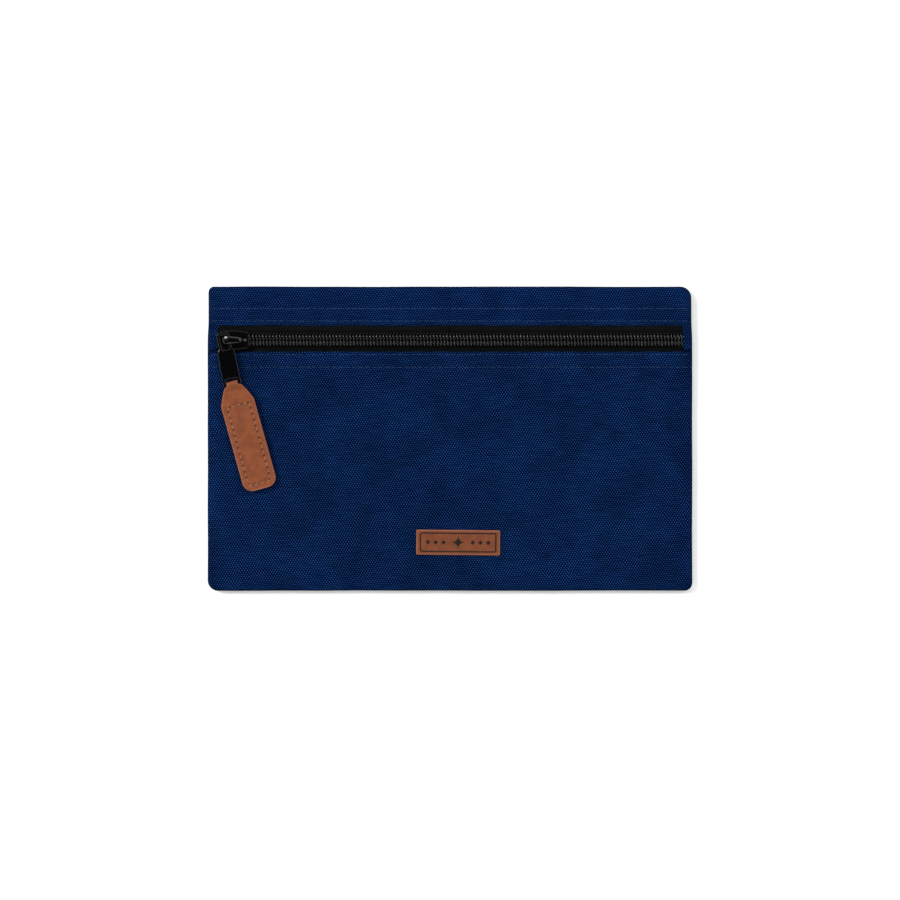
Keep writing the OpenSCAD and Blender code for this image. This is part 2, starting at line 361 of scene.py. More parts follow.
def grid_border(rows, columns):
    """Point numbers along a grid's first row, last row, left side and right side."""
    first = list(range(columns))
    last = [(rows - 1) * columns + c for c in first]
    left = [r * columns for r in range(rows)]
    right = [r * columns + columns - 1 for r in range(rows)]
    return first, last, left, right


def loop_faces(first, second, flip=False):
    """Faces between two closed loops of point numbers."""
    faces = []
    count = len(first)
    for i in range(count):
        j = (i + 1) % count
        face = (first[i], first[j], second[j], second[i])
        faces.append(face[::-1] if flip else face)
    return faces


def ring_faces(count, sides, flip=False):
    """Faces round a row of rings that have sides points each, with a cap at each end."""
    rings = [tuple(range(r * sides, (r + 1) * sides)) for r in range(count)]
    faces = []
    for first, second in zip(rings, rings[1:]):
        faces += loop_faces(first, second, flip)
    faces.append(rings[0] if flip else rings[0][::-1])
    faces.append(rings[-1][::-1] if flip else rings[-1])
    return faces


def directions(path):
    """Unit vector along a path at each of its points."""
    along = np.gradient(path, axis=0)
    return along / np.linalg.norm(along, axis=1)[:, None]


def distances_along(path):
    """How far along a path each of its points lies."""
    steps = np.linalg.norm(np.diff(path, axis=0), axis=1)
    return np.concatenate([[0], np.cumsum(steps)])


def turn_round(start, corner, end, steps):
    """Points on a smooth turn from start to end, inside a corner."""
    shares = [k / steps for k in range(steps + 1)]
    return [(1 - t) ** 2 * start + 2 * t * (1 - t) * corner + t * t * end for t in shares]


def tube(path, radius, sides, across):
    """A round tube along a path. across is never parallel to the path."""
    path = np.array(path, float)
    along = directions(path)
    one = np.cross(along, across)
    one /= np.linalg.norm(one, axis=1)[:, None]
    two = np.cross(along, one)
    angles = np.arange(sides) * 2 * math.pi / sides
    rings = path[:, None, :] + radius * (
        np.cos(angles)[None, :, None] * one[:, None, :]
        + np.sin(angles)[None, :, None] * two[:, None, :]
    )
    return rings.reshape(-1, 3).tolist(), ring_faces(len(path), sides)


def round_corners(corners, radius, steps=6):
    """An outline through corners, each rounded. A radius may be given for each corner."""
    count = len(corners)
    radii = [radius] * count if np.isscalar(radius) else radius
    outline = []
    for i in range(count):
        corner = np.array(corners[i], float)
        to_last = np.array(corners[i - 1], float) - corner
        to_next = np.array(corners[(i + 1) % count], float) - corner
        room = min(np.linalg.norm(to_last), np.linalg.norm(to_next)) * 0.49
        to_last /= np.linalg.norm(to_last)
        to_next /= np.linalg.norm(to_next)
        half = math.acos(np.clip(to_last @ to_next, -1, 1)) / 2
        reach = min(radii[i] / math.tan(half), room)
        outline += turn_round(corner + to_last * reach, corner, corner + to_next * reach, steps)
    return np.array(outline)


def signed_area(outline):
    x, y = outline[:, 0], outline[:, 1]
    return 0.5 * np.sum(x * np.roll(y, -1) - np.roll(x, -1) * y)


def inset_outline(outline, inset):
    """The outline moved by inset towards its left side."""
    along = np.roll(outline, -1, axis=0) - np.roll(outline, 1, axis=0)
    along /= np.linalg.norm(along, axis=1)[:, None]
    left = np.stack([-along[:, 1], along[:, 0]], axis=1)
    return outline + left * inset


def plate(outlines, z0, z1, rim, steps=3):
    """A plate with rounded rims. The first outline is its edge and the others its holes."""
    outlines = [
        outline if (signed_area(outline) > 0) == (i == 0) else outline[::-1]
        for i, outline in enumerate(outlines)
    ]
    quarter = [math.pi / 2 * i / steps for i in range(steps + 1)]
    profile = [(rim * (1 - math.sin(a)), z0 + rim * (1 - math.cos(a))) for a in quarter]
    profile += [(rim * (1 - math.cos(a)), z1 - rim * (1 - math.sin(a))) for a in quarter]
    points, faces = [], []
    caps = {0: [], len(profile) - 1: []}
    for outline in outlines:
        rings = []
        for level, (inset, z) in enumerate(profile):
            first = len(points)
            flat = inset_outline(outline, inset)
            points += [(p[0], p[1], z) for p in flat]
            ring = list(range(first, first + len(outline)))
            rings.append(ring)
            if level in caps:
                caps[level].append(ring)
        for ring0, ring1 in zip(rings, rings[1:]):
            faces += loop_faces(ring0, ring1)
    for level, rings in caps.items():
        numbers = [n for ring in rings for n in ring]
        flat = [[Vector(points[n]) for n in ring] for ring in rings]
        for a, b, c in geometry.tessellate_polygon(flat):
            face = (numbers[a], numbers[b], numbers[c])
            corner = [np.array(points[n][:2]) for n in face]
            turn = np.cross(corner[1] - corner[0], corner[2] - corner[0])
            if (turn > 0) != (level > 0):
                face = face[::-1]
            faces.append(face)
    return points, faces


def moved(points, matrix):
    """Points carried by a 4x4 matrix whose shift is in millimetres."""
    return [tuple(matrix @ Vector(p)) for p in points]


def finish_piece(piece, body, material, nodes=()):
    """Gives a piece its material and slot, and puts it on its body."""
    piece.data.materials.clear()
    piece.data.materials.append(material)
    if nodes:
        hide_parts(*nodes)
    if body:
        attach(piece, body)
    return piece


# ---- Materials ----

class Material:
    """A procedural material, built up from its shader."""

    def __init__(self, name, **settings):
        self.material = bpy.data.materials.new(name)
        self.material.use_nodes = True
        self.tree = self.material.node_tree
        self.shader = self.tree.nodes["Principled BSDF"]
        for socket, value in settings.items():
            self.shader.inputs[socket.replace("_", " ")].default_value = value

    def put(self, socket, value):
        """Links a socket to another, or sets its value."""
        if isinstance(value, bpy.types.NodeSocket):
            self.tree.links.new(value, socket)
        else:
            socket.default_value = value

    def node(self, kind, inputs=(), **settings):
        """Adds a node, sets its inputs in order, and returns it."""
        node = self.tree.nodes.new(kind)
        for setting, value in settings.items():
            setattr(node, setting, value)
        for socket, value in zip(node.inputs, inputs):
            if value is not None:
                self.put(socket, value)
        return node

    def math(self, operation, *values):
        return self.node("ShaderNodeMath", values, operation=operation).outputs[0]

    def stepped(self, value, start, end, low=0.0, high=1.0):
        """value between start and end, brought smoothly to between low and high."""
        node = self.node(
            "ShaderNodeMapRange", (value, start, end, low, high), interpolation_type="SMOOTHSTEP"
        )
        return node.outputs[0]

    def attribute(self, name, output="Vector"):
        return self.node("ShaderNodeAttribute", attribute_name=name).outputs[output]

    def object_point(self):
        """Place in the object's own space, in millimetres."""
        point = self.node("ShaderNodeTexCoord").outputs["Object"]
        scale = (1 / MM, 1 / MM, 1 / MM)
        return self.node("ShaderNodeVectorMath", (point, scale), operation="MULTIPLY").outputs[0]

    def noise(self, point, size, detail=2.0, roughness=0.5):
        """Cloudy noise from 0 to 1, with patches about size millimetres across."""
        node = self.node("ShaderNodeTexNoise")
        self.put(node.inputs["Vector"], point)
        node.inputs["Scale"].default_value = 1 / size
        node.inputs["Detail"].default_value = detail
        node.inputs["Roughness"].default_value = roughness
        return node.outputs[0]

    def mix(self, share, first, second, blend="MIX"):
        """A colour between two others."""
        node = self.node("ShaderNodeMix", data_type="RGBA", blend_type=blend)
        self.put(node.inputs[0], share)
        self.put(node.inputs[6], first)
        self.put(node.inputs[7], second)
        return node.outputs[2]

    def bump(self, height, depth, after=None):
        """A normal from a height of 0 to 1 that stands for depth millimetres."""
        node = self.node("ShaderNodeBump")
        node.inputs["Distance"].default_value = depth * MM
        self.put(node.inputs["Height"], height)
        if after is not None:
            self.put(node.inputs["Normal"], after)
        return node.outputs[0]

    def shaded(self, colour, shades):
        """A colour made darker or lighter by each of some factors."""
        shade = shades[0]
        for other in shades[1:]:
            shade = self.math("MULTIPLY", shade, other)
        grey = self.node("ShaderNodeCombineColor", (shade, shade, shade)).outputs[0]
        return self.mix(1.0, colour, grey, "MULTIPLY")

    def set(self, socket, value):
        self.put(self.shader.inputs[socket], value)


def rgb(red, green, blue):
    return (red, green, blue, 1.0)


def woven(name, colours, pitch, turn, patch, depth, across=None, **settings):
    """Plain-woven cloth. colours are a painted shade for its hollows, its threads, and a painted
    sheen for its raised threads.

    pitch is the threads' spacing along and across, turn the weave's slant in degrees, and patch how
    strongly the cloth varies over its length. across may give a painted shade and light that change
    with the distance from the cloth's middle line: from, to, low, high.
    A point attribute gives a painted shade where the cloth turns into a seam or goes under another
    piece.
    """
    cloth = Material(name, **settings)
    flat = cloth.attribute("cloth")
    turned = cloth.node("ShaderNodeVectorRotate", rotation_type="Z_AXIS")
    cloth.put(turned.inputs["Vector"], flat)
    turned.inputs["Angle"].default_value = math.radians(turn)
    wobble = cloth.math("MULTIPLY", cloth.noise(flat, 6.0, 1.0), 0.8)
    place = cloth.node("ShaderNodeSeparateXYZ", (turned.outputs[0],)).outputs
    crests = []
    for i in (0, 1):
        wavy = cloth.math("ADD", place[i], wobble)
        crests.append(cloth.math("COSINE", cloth.math("MULTIPLY", wavy, math.pi / pitch[i])))
    crest = cloth.math("MULTIPLY", *crests)
    height = cloth.math("POWER", cloth.math("ABSOLUTE", crest), 0.6)
    drawn_out = cloth.node("ShaderNodeVectorMath", (flat, (0.12, 1.0, 1.0)), operation="MULTIPLY")
    slub = cloth.noise(drawn_out.outputs[0], 1.1, 2.0)
    fibre = cloth.noise(flat, 0.22, 2.0)
    cloud = cloth.noise(flat, 26.0, 3.0, 0.6)
    # The first colour is a painted shade in the hollows, the last a painted sheen on the raised
    # threads.
    hollow_shade, thread, top = colours
    raised = cloth.stepped(crest, 0.12, 0.85)
    lit = cloth.math("MULTIPLY", raised, cloth.stepped(slub, 0.3, 0.7, 0.55, 1.0))
    colour = cloth.mix(cloth.stepped(height, 0.1, 0.7), hollow_shade, thread)
    colour = cloth.mix(lit, colour, top)
    shades = [
        cloth.stepped(cloud, 0.3, 0.7, 1 - patch, 1 + patch),
        cloth.stepped(fibre, 0.2, 0.8, 0.86, 1.14),
        # Painted shade at the seams and under other pieces, from a point attribute.
        cloth.stepped(cloth.attribute("painted_seam_shade", "Fac"), 0.0, 1.0, 1.0, 0.25),
    ]
    # Painted shade near the cloth's middle line and painted light further out.
    if across:
        out = cloth.math("ABSOLUTE", cloth.node("ShaderNodeSeparateXYZ", (flat,)).outputs[1])
        shades.append(cloth.stepped(out, *across))
    cloth.set("Base Color", cloth.shaded(colour, shades))
    relief = cloth.math("ADD", height, cloth.math("MULTIPLY", fibre, 0.25))
    cloth.set("Normal", cloth.bump(relief, depth))
    cloth.set("Roughness", cloth.stepped(fibre, 0.0, 1.0, 0.72, 0.9))
    return cloth.material


def navy_fabric():
    # Hollows in painted shade, then threads, then raised threads in painted sheen.
    colours = (rgb(0.0, 0.0009, 0.0095), rgb(0.0, 0.0034, 0.025), rgb(0.0150, 0.0700, 0.238))
    return woven(
        "navy_fabric", colours, (0.68, 1.05), -4.5, 0.2, 0.16, Specular_IOR_Level=0.01,
    )


def lining_fabric():
    # Hollows in painted shade, then threads, then raised threads in painted sheen.
    colours = (rgb(0.006, 0.007, 0.012), rgb(0.012, 0.014, 0.024), rgb(0.03, 0.034, 0.05))
    return woven("lining", colours, (0.3, 0.3), 0.0, 0.1, 0.05, Specular_IOR_Level=0.25)


def binding_fabric():
    # Hollows in painted shade, then threads, then raised threads in painted sheen.
    colours = (rgb(0.003, 0.004, 0.007), rgb(0.008, 0.009, 0.013), rgb(0.02, 0.022, 0.028))
    return woven("binding_tape", colours, (0.45, 0.9), 0.0, 0.1, 0.1, Specular_IOR_Level=0.15)


def zip_tape_fabric():
    # Hollows in painted shade, then threads, then raised threads in painted sheen.
    colours = (
        rgb(0.0002, 0.0002, 0.0003), rgb(0.0012, 0.0014, 0.0018), rgb(0.0130, 0.0138, 0.0155)
    )
    # Painted shade on the tape beside the coil and painted light further out.
    return woven(
        "zip_tape", colours, (0.86, 0.5), 0.0, 0.12, 0.12, across=(4.6, 6.6, 0.6, 1.5),
        Specular_IOR_Level=0.05,
    )


def thread_material(name, colour, light):
    """Twisted thread, with its colour between two shades."""
    thread = Material(name, Roughness=0.6, Specular_IOR_Level=0.2)
    point = thread.object_point()
    thread.set("Base Color", thread.mix(thread.noise(point, 0.5, 2.0), colour, light))
    thread.set("Normal", thread.bump(thread.noise(point, 0.12, 1.0), 0.05))
    return thread.material


def coil_material():
    coil = Material("zip_coil", Specular_IOR_Level=0.7)
    point = coil.object_point()
    shade = coil.noise(point, 0.9)
    coil.set("Base Color", coil.mix(shade, rgb(0.0003, 0.0003, 0.0005), rgb(0.0011, 0.0012, 0.0015)))
    coil.set("Roughness", coil.stepped(coil.noise(point, 0.3), 0.2, 0.8, 0.14, 0.24))
    coil.set("Normal", coil.bump(coil.noise(point, 0.25, 1.0), 0.02))
    return coil.material


def black_metal():
    metal = Material("black_metal", Specular_IOR_Level=0.5)
    point = metal.object_point()
    cast = metal.noise(point, 1.6, 3.0)
    worn = metal.stepped(metal.noise(point, 0.5, 4.0, 0.7), 0.6, 0.75)
    colour = metal.mix(worn, rgb(0.0004, 0.0004, 0.0006), rgb(0.002, 0.002, 0.0024))
    metal.set("Base Color", colour)
    metal.set("Roughness", metal.stepped(cast, 0.3, 0.7, 0.1, 0.18))
    metal.set("Normal", metal.bump(cast, 0.008))
    return metal.material


def spring_steel():
    steel = Material("lock_spring", Metallic=0.9)
    point = steel.object_point()
    grain = steel.noise(point, 0.3, 3.0)
    steel.set("Base Color", steel.mix(grain, rgb(0.05, 0.05, 0.055), rgb(0.14, 0.14, 0.15)))
    steel.set("Roughness", steel.stepped(grain, 0.2, 0.8, 0.3, 0.5))
    return steel.material


def leather(name, deep, light):
    """Vegetable-tanned leather: fine grain, cloudy colour, a painted highlight along the edges,
    pressed marks and painted shade in the stitch holes.
    """
    hide = Material(name, Specular_IOR_Level=0.22)
    point = hide.object_point()
    cloud = hide.noise(point, 5.0, 4.0, 0.6)
    grain = hide.noise(point, 0.55, 4.0, 0.65)
    pore = hide.node("ShaderNodeTexVoronoi", feature="F1")
    hide.put(pore.inputs["Vector"], point)
    pore.inputs["Scale"].default_value = 1 / 0.45
    cell = hide.stepped(pore.outputs[0], 0.1, 0.75)
    colour = hide.mix(hide.stepped(cloud, 0.3, 0.7), deep, light)
    speckle = hide.stepped(grain, 0.35, 0.65, 0.88, 1.1)
    colour = hide.shaded(colour, [speckle])
    # Painted highlight along the edges, from a point attribute.
    edge = hide.attribute("edge", "Fac")
    colour = hide.mix(hide.math("MULTIPLY", edge, 0.6), colour, rgb(0.34, 0.125, 0.07))
    # Pressed marks on the label; on the pull, painted shade in the stitch holes.
    pressed_and_hole_shade = hide.attribute("pressed_and_hole_shade", "Fac")
    colour = hide.mix(pressed_and_hole_shade, colour, rgb(0.0035, 0.0018, 0.0013))
    hide.set("Base Color", colour)
    hide.set("Roughness", hide.stepped(cloud, 0.2, 0.8, 0.5, 0.68))
    relief = hide.math("ADD", hide.math("MULTIPLY", cell, 0.6), grain)
    hide.set("Normal", hide.bump(relief, 0.07))
    return hide.material


def tan_leather():
    return leather("tan_leather", rgb(0.170, 0.0430, 0.0126), rgb(0.234, 0.0625, 0.0202))


def label_leather():
    return leather("label_leather", rgb(0.141, 0.0365, 0.0118), rgb(0.184, 0.0500, 0.0172))


NAVY = navy_fabric()
LINING = lining_fabric()
BINDING = binding_fabric()
ZIP_TAPE = zip_tape_fabric()
COIL = coil_material()
# The coil's thread is lighter than the coil: a painted glint along the wires.
COIL_THREAD_GLINT = thread_material("coil_thread_glint", rgb(0.008, 0.0082, 0.0092), rgb(0.044, 0.045, 0.048))
BLUE_THREAD = thread_material("blue_thread", rgb(0.003, 0.0155, 0.06), rgb(0.0125, 0.044, 0.13))
TAN_THREAD = thread_material("tan_thread", rgb(0.27, 0.115, 0.052), rgb(0.45, 0.23, 0.12))
METAL = black_metal()
SPRING = spring_steel()
LEATHER = tan_leather()
LABEL_LEATHER = label_leather()


# ---- Cloth of the pouch ----

def columns_at(y, half=0):
    """x of each point in a row of cloth, close together near the sides.

    half is -1 for only the left half of the pouch, 1 for the right and 0 for both.
    """
    left, right = side_limits(y)
    start = left + EDGE_STEPS[-1]
    end = right - EDGE_STEPS[-1]
    count = 2 * round((SIDE_X - EDGE_STEPS[-1]) / GRID_STEP)
    inner = [start + (end - start) * i / count for i in range(1, count)]
    row = [left + e for e in EDGE_STEPS] + inner + [right - e for e in EDGE_STEPS[::-1]]
    middle = len(row) // 2
    if half < 0:
        row = row[:middle] + [0.0]
    elif half > 0:
        row = [0.0] + row[middle + 1:]
    return row


def row_distances(length, dense):
    """Distances from a seam to the far edge, close together at the seam and the stitching."""
    near = [e for e in EDGE_STEPS if e < length - dense - 1]
    open_part = spaced(near[-1], length - dense, 2.2)[1:]
    return near + open_part + spaced(length - dense, length, 0.5)[1:]


# Edge of the cloth at a seam: how far in each row lies, and its share of the way from
# the outline's height to the seam's. Past 1 it goes on beyond the seam.
SEAM_ROWS = [(0.2, 0.3), (0.55, 0.97)]
ALLOWANCE_ROWS = SEAM_ROWS + [(0.72, 2.6), (0.86, 4.4)]


class Cloth:
    """A sheet gathered row by row, with each point's place on the flat cloth."""

    def __init__(self):
        self.points = []
        self.flat = []
        self.faces = []
        self.rows = 0
        self.columns = 0

    def add_row(self, xs, y, zs, flat_x=None, flat_y=None):
        """Adds a row of points. The flat cloth has the same x and y unless others are given."""
        ys = np.broadcast_to(y, np.shape(xs))
        flat_x = xs if flat_x is None else flat_x
        flat_y = y if flat_y is None else flat_y
        self.points += list(zip(xs, ys, zs))
        self.flat += [(x, flat_y, 0) for x in flat_x]
        self.rows += 1
        self.columns = len(xs)

    def join_rows(self, flip=False):
        self.faces += grid_faces(self.rows, self.columns, flip)

    def turn_in(self, path, level, flip, rows=SEAM_ROWS):
        """Turns the cloth's edge in along a path of point numbers, to the seam's level."""
        step = 0.01
        last = path
        for inset, share in rows:
            ring = []
            for number in path:
                x, y, z = self.points[number]
                slope = np.array([
                    edge_distance(x + step, y) - edge_distance(x - step, y),
                    edge_distance(x, y + step) - edge_distance(x, y - step),
                ])
                in_x, in_y = inset * slope / max(np.linalg.norm(slope), 1e-9)
                flat_x, flat_y, _ = self.flat[number]
                ring.append(len(self.points))
                self.points.append((x + in_x, y + in_y, z + (level - z) * share))
                self.flat.append((flat_x - in_x, flat_y - in_y, 0))
            for i in range(len(path) - 1):
                face = (last[i], last[i + 1], ring[i + 1], ring[i])
                self.faces.append(face[::-1] if flip else face)
            last = ring

    def make(self, name, thickness=PLY_T, painted_shade_y=None):
        """Makes the piece, with painted shade along its seams. Its last argument may give where the
        cloth goes under another piece, to paint shade there too.
        """
        points = np.array(self.points, float)
        # Painted shade: darker towards the seams and, below a given y, where the cloth goes under
        # another piece.
        painted_seam_shade = 1 - smoothstep(edge_distance(points[:, X], points[:, Y]) / SEAM_SHADE_W)
        if painted_shade_y is not None:
            under = 1 - smoothstep((points[:, Y] - painted_shade_y) / (2.4 * SEAM_SHADE_W))
            painted_seam_shade = np.maximum(painted_seam_shade, under)
        attributes = {"cloth": self.flat, "painted_seam_shade": painted_seam_shade}
        piece = add_piece(name, wander(points), self.faces, attributes)
        thicken(piece, thickness)
        return piece


def folded_panel(name, seam_side, fold_y, half=0):
    """A front panel: sewn in at one edge of the pouch, folded back under itself at the other.

    seam_side is -1 for a panel sewn in at the bottom and 1 for one at the zip edge.
    """
    toward = -seam_side
    seam_y = seam_side * EDGE_Y
    length = abs(fold_y - seam_y) - FOLD_R
    crest_y = fold_y - toward * FOLD_R
    rows = [(seam_y + toward * t, 0, t) for t in row_distances(length, 16)]
    outer_rows = len(rows)
    for turn in np.linspace(0, math.pi, 7)[1:]:
        y = crest_y + toward * FOLD_R * math.sin(turn)
        rows.append((y, FOLD_R * (1 - math.cos(turn)), length + FOLD_R * turn))
    for t in spaced(0, FOLD_BACK, 1.5)[1:]:
        rows.append((crest_y - toward * t, 2 * FOLD_R, length + math.pi * FOLD_R + t))
    cloth = Cloth()
    for y, drop, t in rows:
        xs = np.array(columns_at(y, half))
        tuck = 1 - 0.9 / SIDE_X * min(drop / FOLD_R, 1)
        zs = front_height(xs, np.full_like(xs, y)) - drop
        cloth.add_row(xs * tuck, y, zs, xs, seam_y + toward * t)
    face_up = toward > 0
    cloth.join_rows(flip=not face_up)
    path, _, left, right = grid_border(outer_rows, cloth.columns)
    if half <= 0:
        path = left[:0:-1] + path
    if half >= 0:
        path = path + right[1:]
    cloth.turn_in(path, SEAM_Z, flip=face_up)
    return cloth.make(name)


def front_panel():
    piece = folded_panel("front_panel_cloth", -1, HEM_Y)
    finish_piece(piece, "pouch", NAVY, ["front_panel"])


def lip_halves(make, material, nodes=()):
    """Makes the two halves of a piece of the upper lip.

    make(side, end) returns the half on a side, -1 or 1, whose name has end in it. The halves meet in
    the middle.
    """
    for side, end in ((-1, "left"), (1, "right")):
        piece = make(side, end)
        finish_piece(piece, None, material, nodes)
        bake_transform(piece)


def top_band():
    def half(side, end):
        return folded_panel("top_band_cloth_" + end, 1, BAND_Y, side)

    lip_halves(half, NAVY, ["top_band"])


def back_panel():
    inner_y = EDGE_Y - EDGE_STEPS[-1]
    ys = [e - EDGE_Y for e in EDGE_STEPS]
    ys += spaced(-inner_y, inner_y, 2.0)[1:-1]
    ys += [EDGE_Y - e for e in EDGE_STEPS[::-1]]
    cloth = Cloth()
    for y in ys:
        xs = np.array(columns_at(y))
        cloth.add_row(xs, y, back_height(xs, np.full_like(xs, y)))
    cloth.join_rows(flip=True)
    first, last, left, right = grid_border(cloth.rows, cloth.columns)
    path = first + right[1:] + last[-2::-1] + left[-2::-1]
    cloth.turn_in(path, SEAM_Z, flip=False, rows=ALLOWANCE_ROWS)
    piece = cloth.make("back_panel_cloth")
    finish_piece(piece, "pouch", NAVY, ["back_panel"])


def end_tab(name, side, node):
    """Cloth tab over one end of the zip, tucked under the hem and the band."""
    fold_x = WINDOW_LEFT if side < 0 else WINDOW_RIGHT
    tuck = 4.0
    bend = 1.2
    fold_r = 0.17
    ys = spaced(HEM_Y - tuck, HEM_Y + bend, 0.5)
    ys += spaced(HEM_Y + bend, BAND_Y - bend, 0.8)[1:]
    ys += spaced(BAND_Y - bend, BAND_Y + tuck, 0.5)[1:]
    width = SIDE_X - abs(fold_x) - fold_r
    columns = [(e, 0, e) for e in EDGE_STEPS if e < width]
    columns += [(width, 0, width)]
    for turn in np.linspace(0, math.pi, 5)[1:]:
        out = width + fold_r * math.sin(turn)
        columns.append((out, fold_r * (1 - math.cos(turn)), width + fold_r * turn))
    columns += [(width - t, 2 * fold_r, width + t) for t in (1.5, 3.0)]
    out, drop, flat = np.array(columns).T
    xs = side * (SIDE_X - out)
    level = front_height(xs, np.full_like(xs, ZIP_Y)) - drop
    rise = smoothstep((out - 0.6) / 3.0)
    cloth = Cloth()
    for y in ys:
        under = max(smoothstep((HEM_Y + bend - y) / 1.4), smoothstep((y - BAND_Y + bend) / 1.4))
        bulge = 0.8 * math.exp(-(((y - ZIP_Y) / 4.0) ** 4))
        cloth.add_row(xs, y, level + rise * (bulge - 0.25 - 0.4 * under), side * (SIDE_X - flat))
    cloth.join_rows(flip=side > 0)
    _, _, path, _ = grid_border(cloth.rows, cloth.columns)
    cloth.turn_in(path, SEAM_Z, flip=side < 0)
    # Painted shade where the tab goes under the hem.
    piece = cloth.make(name, 0.15, HEM_Y)
    finish_piece(piece, "pouch", NAVY, [node])


# ---- Inside of the pouch ----

LINING_X = SIDE_X - LINING_INSET
LINING_Y = EDGE_Y - LINING_INSET


def sheet_between(name, x0, x1, y0, y1, height, step=4.0):
    """A sheet of lining over a rectangle. height(x, y) gives the height of its upper face."""
    columns = len(spaced(x0, x1, step))
    cloth = Cloth()
    for y in spaced(y0, y1, step):
        left, right = side_limits(y)
        xs = np.linspace(max(x0, left + LINING_INSET), min(x1, right - LINING_INSET), columns)
        cloth.add_row(xs, y, height(xs, np.full_like(xs, y)))
    cloth.join_rows()
    return cloth.make(name, LINING_T)


def back_lining_height(x, y):
    return back_height(x, y) + PLY_T + LINING_GAP + LINING_T


def lining_under_front(node):
    """Height of a lining behind the front: under the folded cloth, no higher than its node."""
    level = low(node)[Z] + LINING_T

    def height(x, y):
        return np.minimum(front_height(x, y) - 2 * FOLD_R - FACING_GAP, level)

    return height


def back_lining():
    piece = sheet_between(
        "back_lining_cloth", -LINING_X, LINING_X, -LINING_Y, LINING_Y, back_lining_height
    )
    finish_piece(piece, "pouch", LINING, ["back_lining"])


def front_lining():
    height = lining_under_front("front_lining")
    top_y = high("front_lining")[Y]
    piece = sheet_between("front_lining_cloth", -LINING_X, LINING_X, -LINING_Y, top_y, height)
    finish_piece(piece, "pouch", LINING, ["front_lining"])


def band_facing():
    height = lining_under_front("top_band_facing")

    def half(side, end):
        name = "top_band_facing_" + end + "_cloth"
        x0, x1 = (-LINING_X, 0) if side < 0 else (0, LINING_X)
        return sheet_between(name, x0, x1, BAND_Y, LINING_Y, height, 2.5)

    lip_halves(half, LINING, ["top_band_facing"])


def outline_loop(inset, steps=8, spacing=6.0):
    """Points along the pouch's outline drawn in by an inset, with the same count each time."""
    corners = [(1, -1), (1, 1), (-1, 1), (-1, -1)]

    def on_corner(k, angle):
        side, end = corners[k % 4]
        r = max(CORNER_R[side, end] - inset, 0.6)
        middle = np.array([side * (SIDE_X - inset - r), end * (EDGE_Y - inset - r)])
        return middle + r * np.array([math.cos(angle), math.sin(angle)])

    quarter = math.pi / 2
    loop = []
    for k in range(4):
        start = (k - 1) * quarter
        loop += [on_corner(k, start + quarter * i / steps) for i in range(steps + 1)]
        last = loop[-1]
        after = on_corner(k + 1, start + quarter)
        count = round(2 * (SIDE_X if k % 2 else EDGE_Y) / spacing)
        loop += [last + (after - last) * i / count for i in range(1, count)]
    return np.array(loop)


def seam_binding():
    """Tape folded over the seam allowance, all round the inside."""
    half_t = 0.35
    width = 6.0
    first_inset = 1.5
    flat_step = 3.0
    shares = np.linspace(0, 1, 7)
    section = [(t, 1) for t in shares] + [(t, -1) for t in shares[-2:0:-1]]
    points, flat, rings = [], [], []
    for share, side in section:
        inset = first_inset + width * share
        rise = side * half_t * math.sqrt(max(1 - (2 * share - 1) ** 6, 0))
        loop = outline_loop(inset)
        x, y = loop[:, 0], loop[:, 1]
        base = back_lining_height(x, y) + LINING_GAP + half_t
        ripple = 0.12 * (1 + waves(x, y, 9, 31))
        first = len(points)
        points += list(zip(x, y, base + rise + ripple))
        flat += [(i * flat_step, inset, 0) for i in range(len(loop))]
        rings.append(range(first, first + len(loop)))
    faces = []
    for i, ring in enumerate(rings):
        faces += loop_faces(ring, rings[(i + 1) % len(rings)])
    piece = add_piece("seam_binding_tape", wander(np.array(points)), faces, {"cloth": flat})
    finish_piece(piece, "pouch", BINDING, ["seam_binding"])


def pocket(name, node):
    """An inner pocket: a sheet that stands a little off the one behind it at its mouth."""
    lo, hi = low(node), high(node)

    def height(x, y):
        slack = smoothstep((y - lo[Y]) / (hi[Y] - lo[Y]))
        sideways = np.clip(1 - (x / hi[X]) ** 2, 0, 1)
        return hi[Z] + 0.25 * slack * sideways * (1 + waves(x, y, 45, 41)) + 0.02

    piece = sheet_between(name, lo[X], hi[X], lo[Y], hi[Y], height)
    finish_piece(piece, "pouch", LINING, [node])
    return height


def pocket_mouth(name, node, height):
    """Tape folded over a pocket's mouth."""
    lo, hi = low(node), high(node)
    half_t = 0.2
    ys = np.linspace(lo[Y] - 0.5, hi[Y], 9)
    xs = np.array(spaced(lo[X], hi[X], 4.0))
    middle = (ys[0] + ys[-1]) / 2
    base = height(xs, np.full_like(xs, lo[Y])) + half_t
    tape = Cloth()
    for side, row_ys in ((1, ys), (-1, ys[::-1][1:-1])):
        for y in row_ys:
            swell = math.sqrt(max(1 - ((y - middle) / (middle - ys[0])) ** 6, 0))
            tape.add_row(xs, y, base + side * (half_t + 0.1) * swell)
    tape.join_rows()
    first, last, left, right = grid_border(tape.rows, tape.columns)
    for c in range(tape.columns - 1):
        tape.faces.append((last[c], last[c + 1], first[c + 1], first[c]))
    tape.faces.append(tuple(left))
    tape.faces.append(tuple(right[::-1]))
    piece = add_piece(name, tape.points, tape.faces, {"cloth": tape.flat})
    finish_piece(piece, "pouch", BINDING, [node])


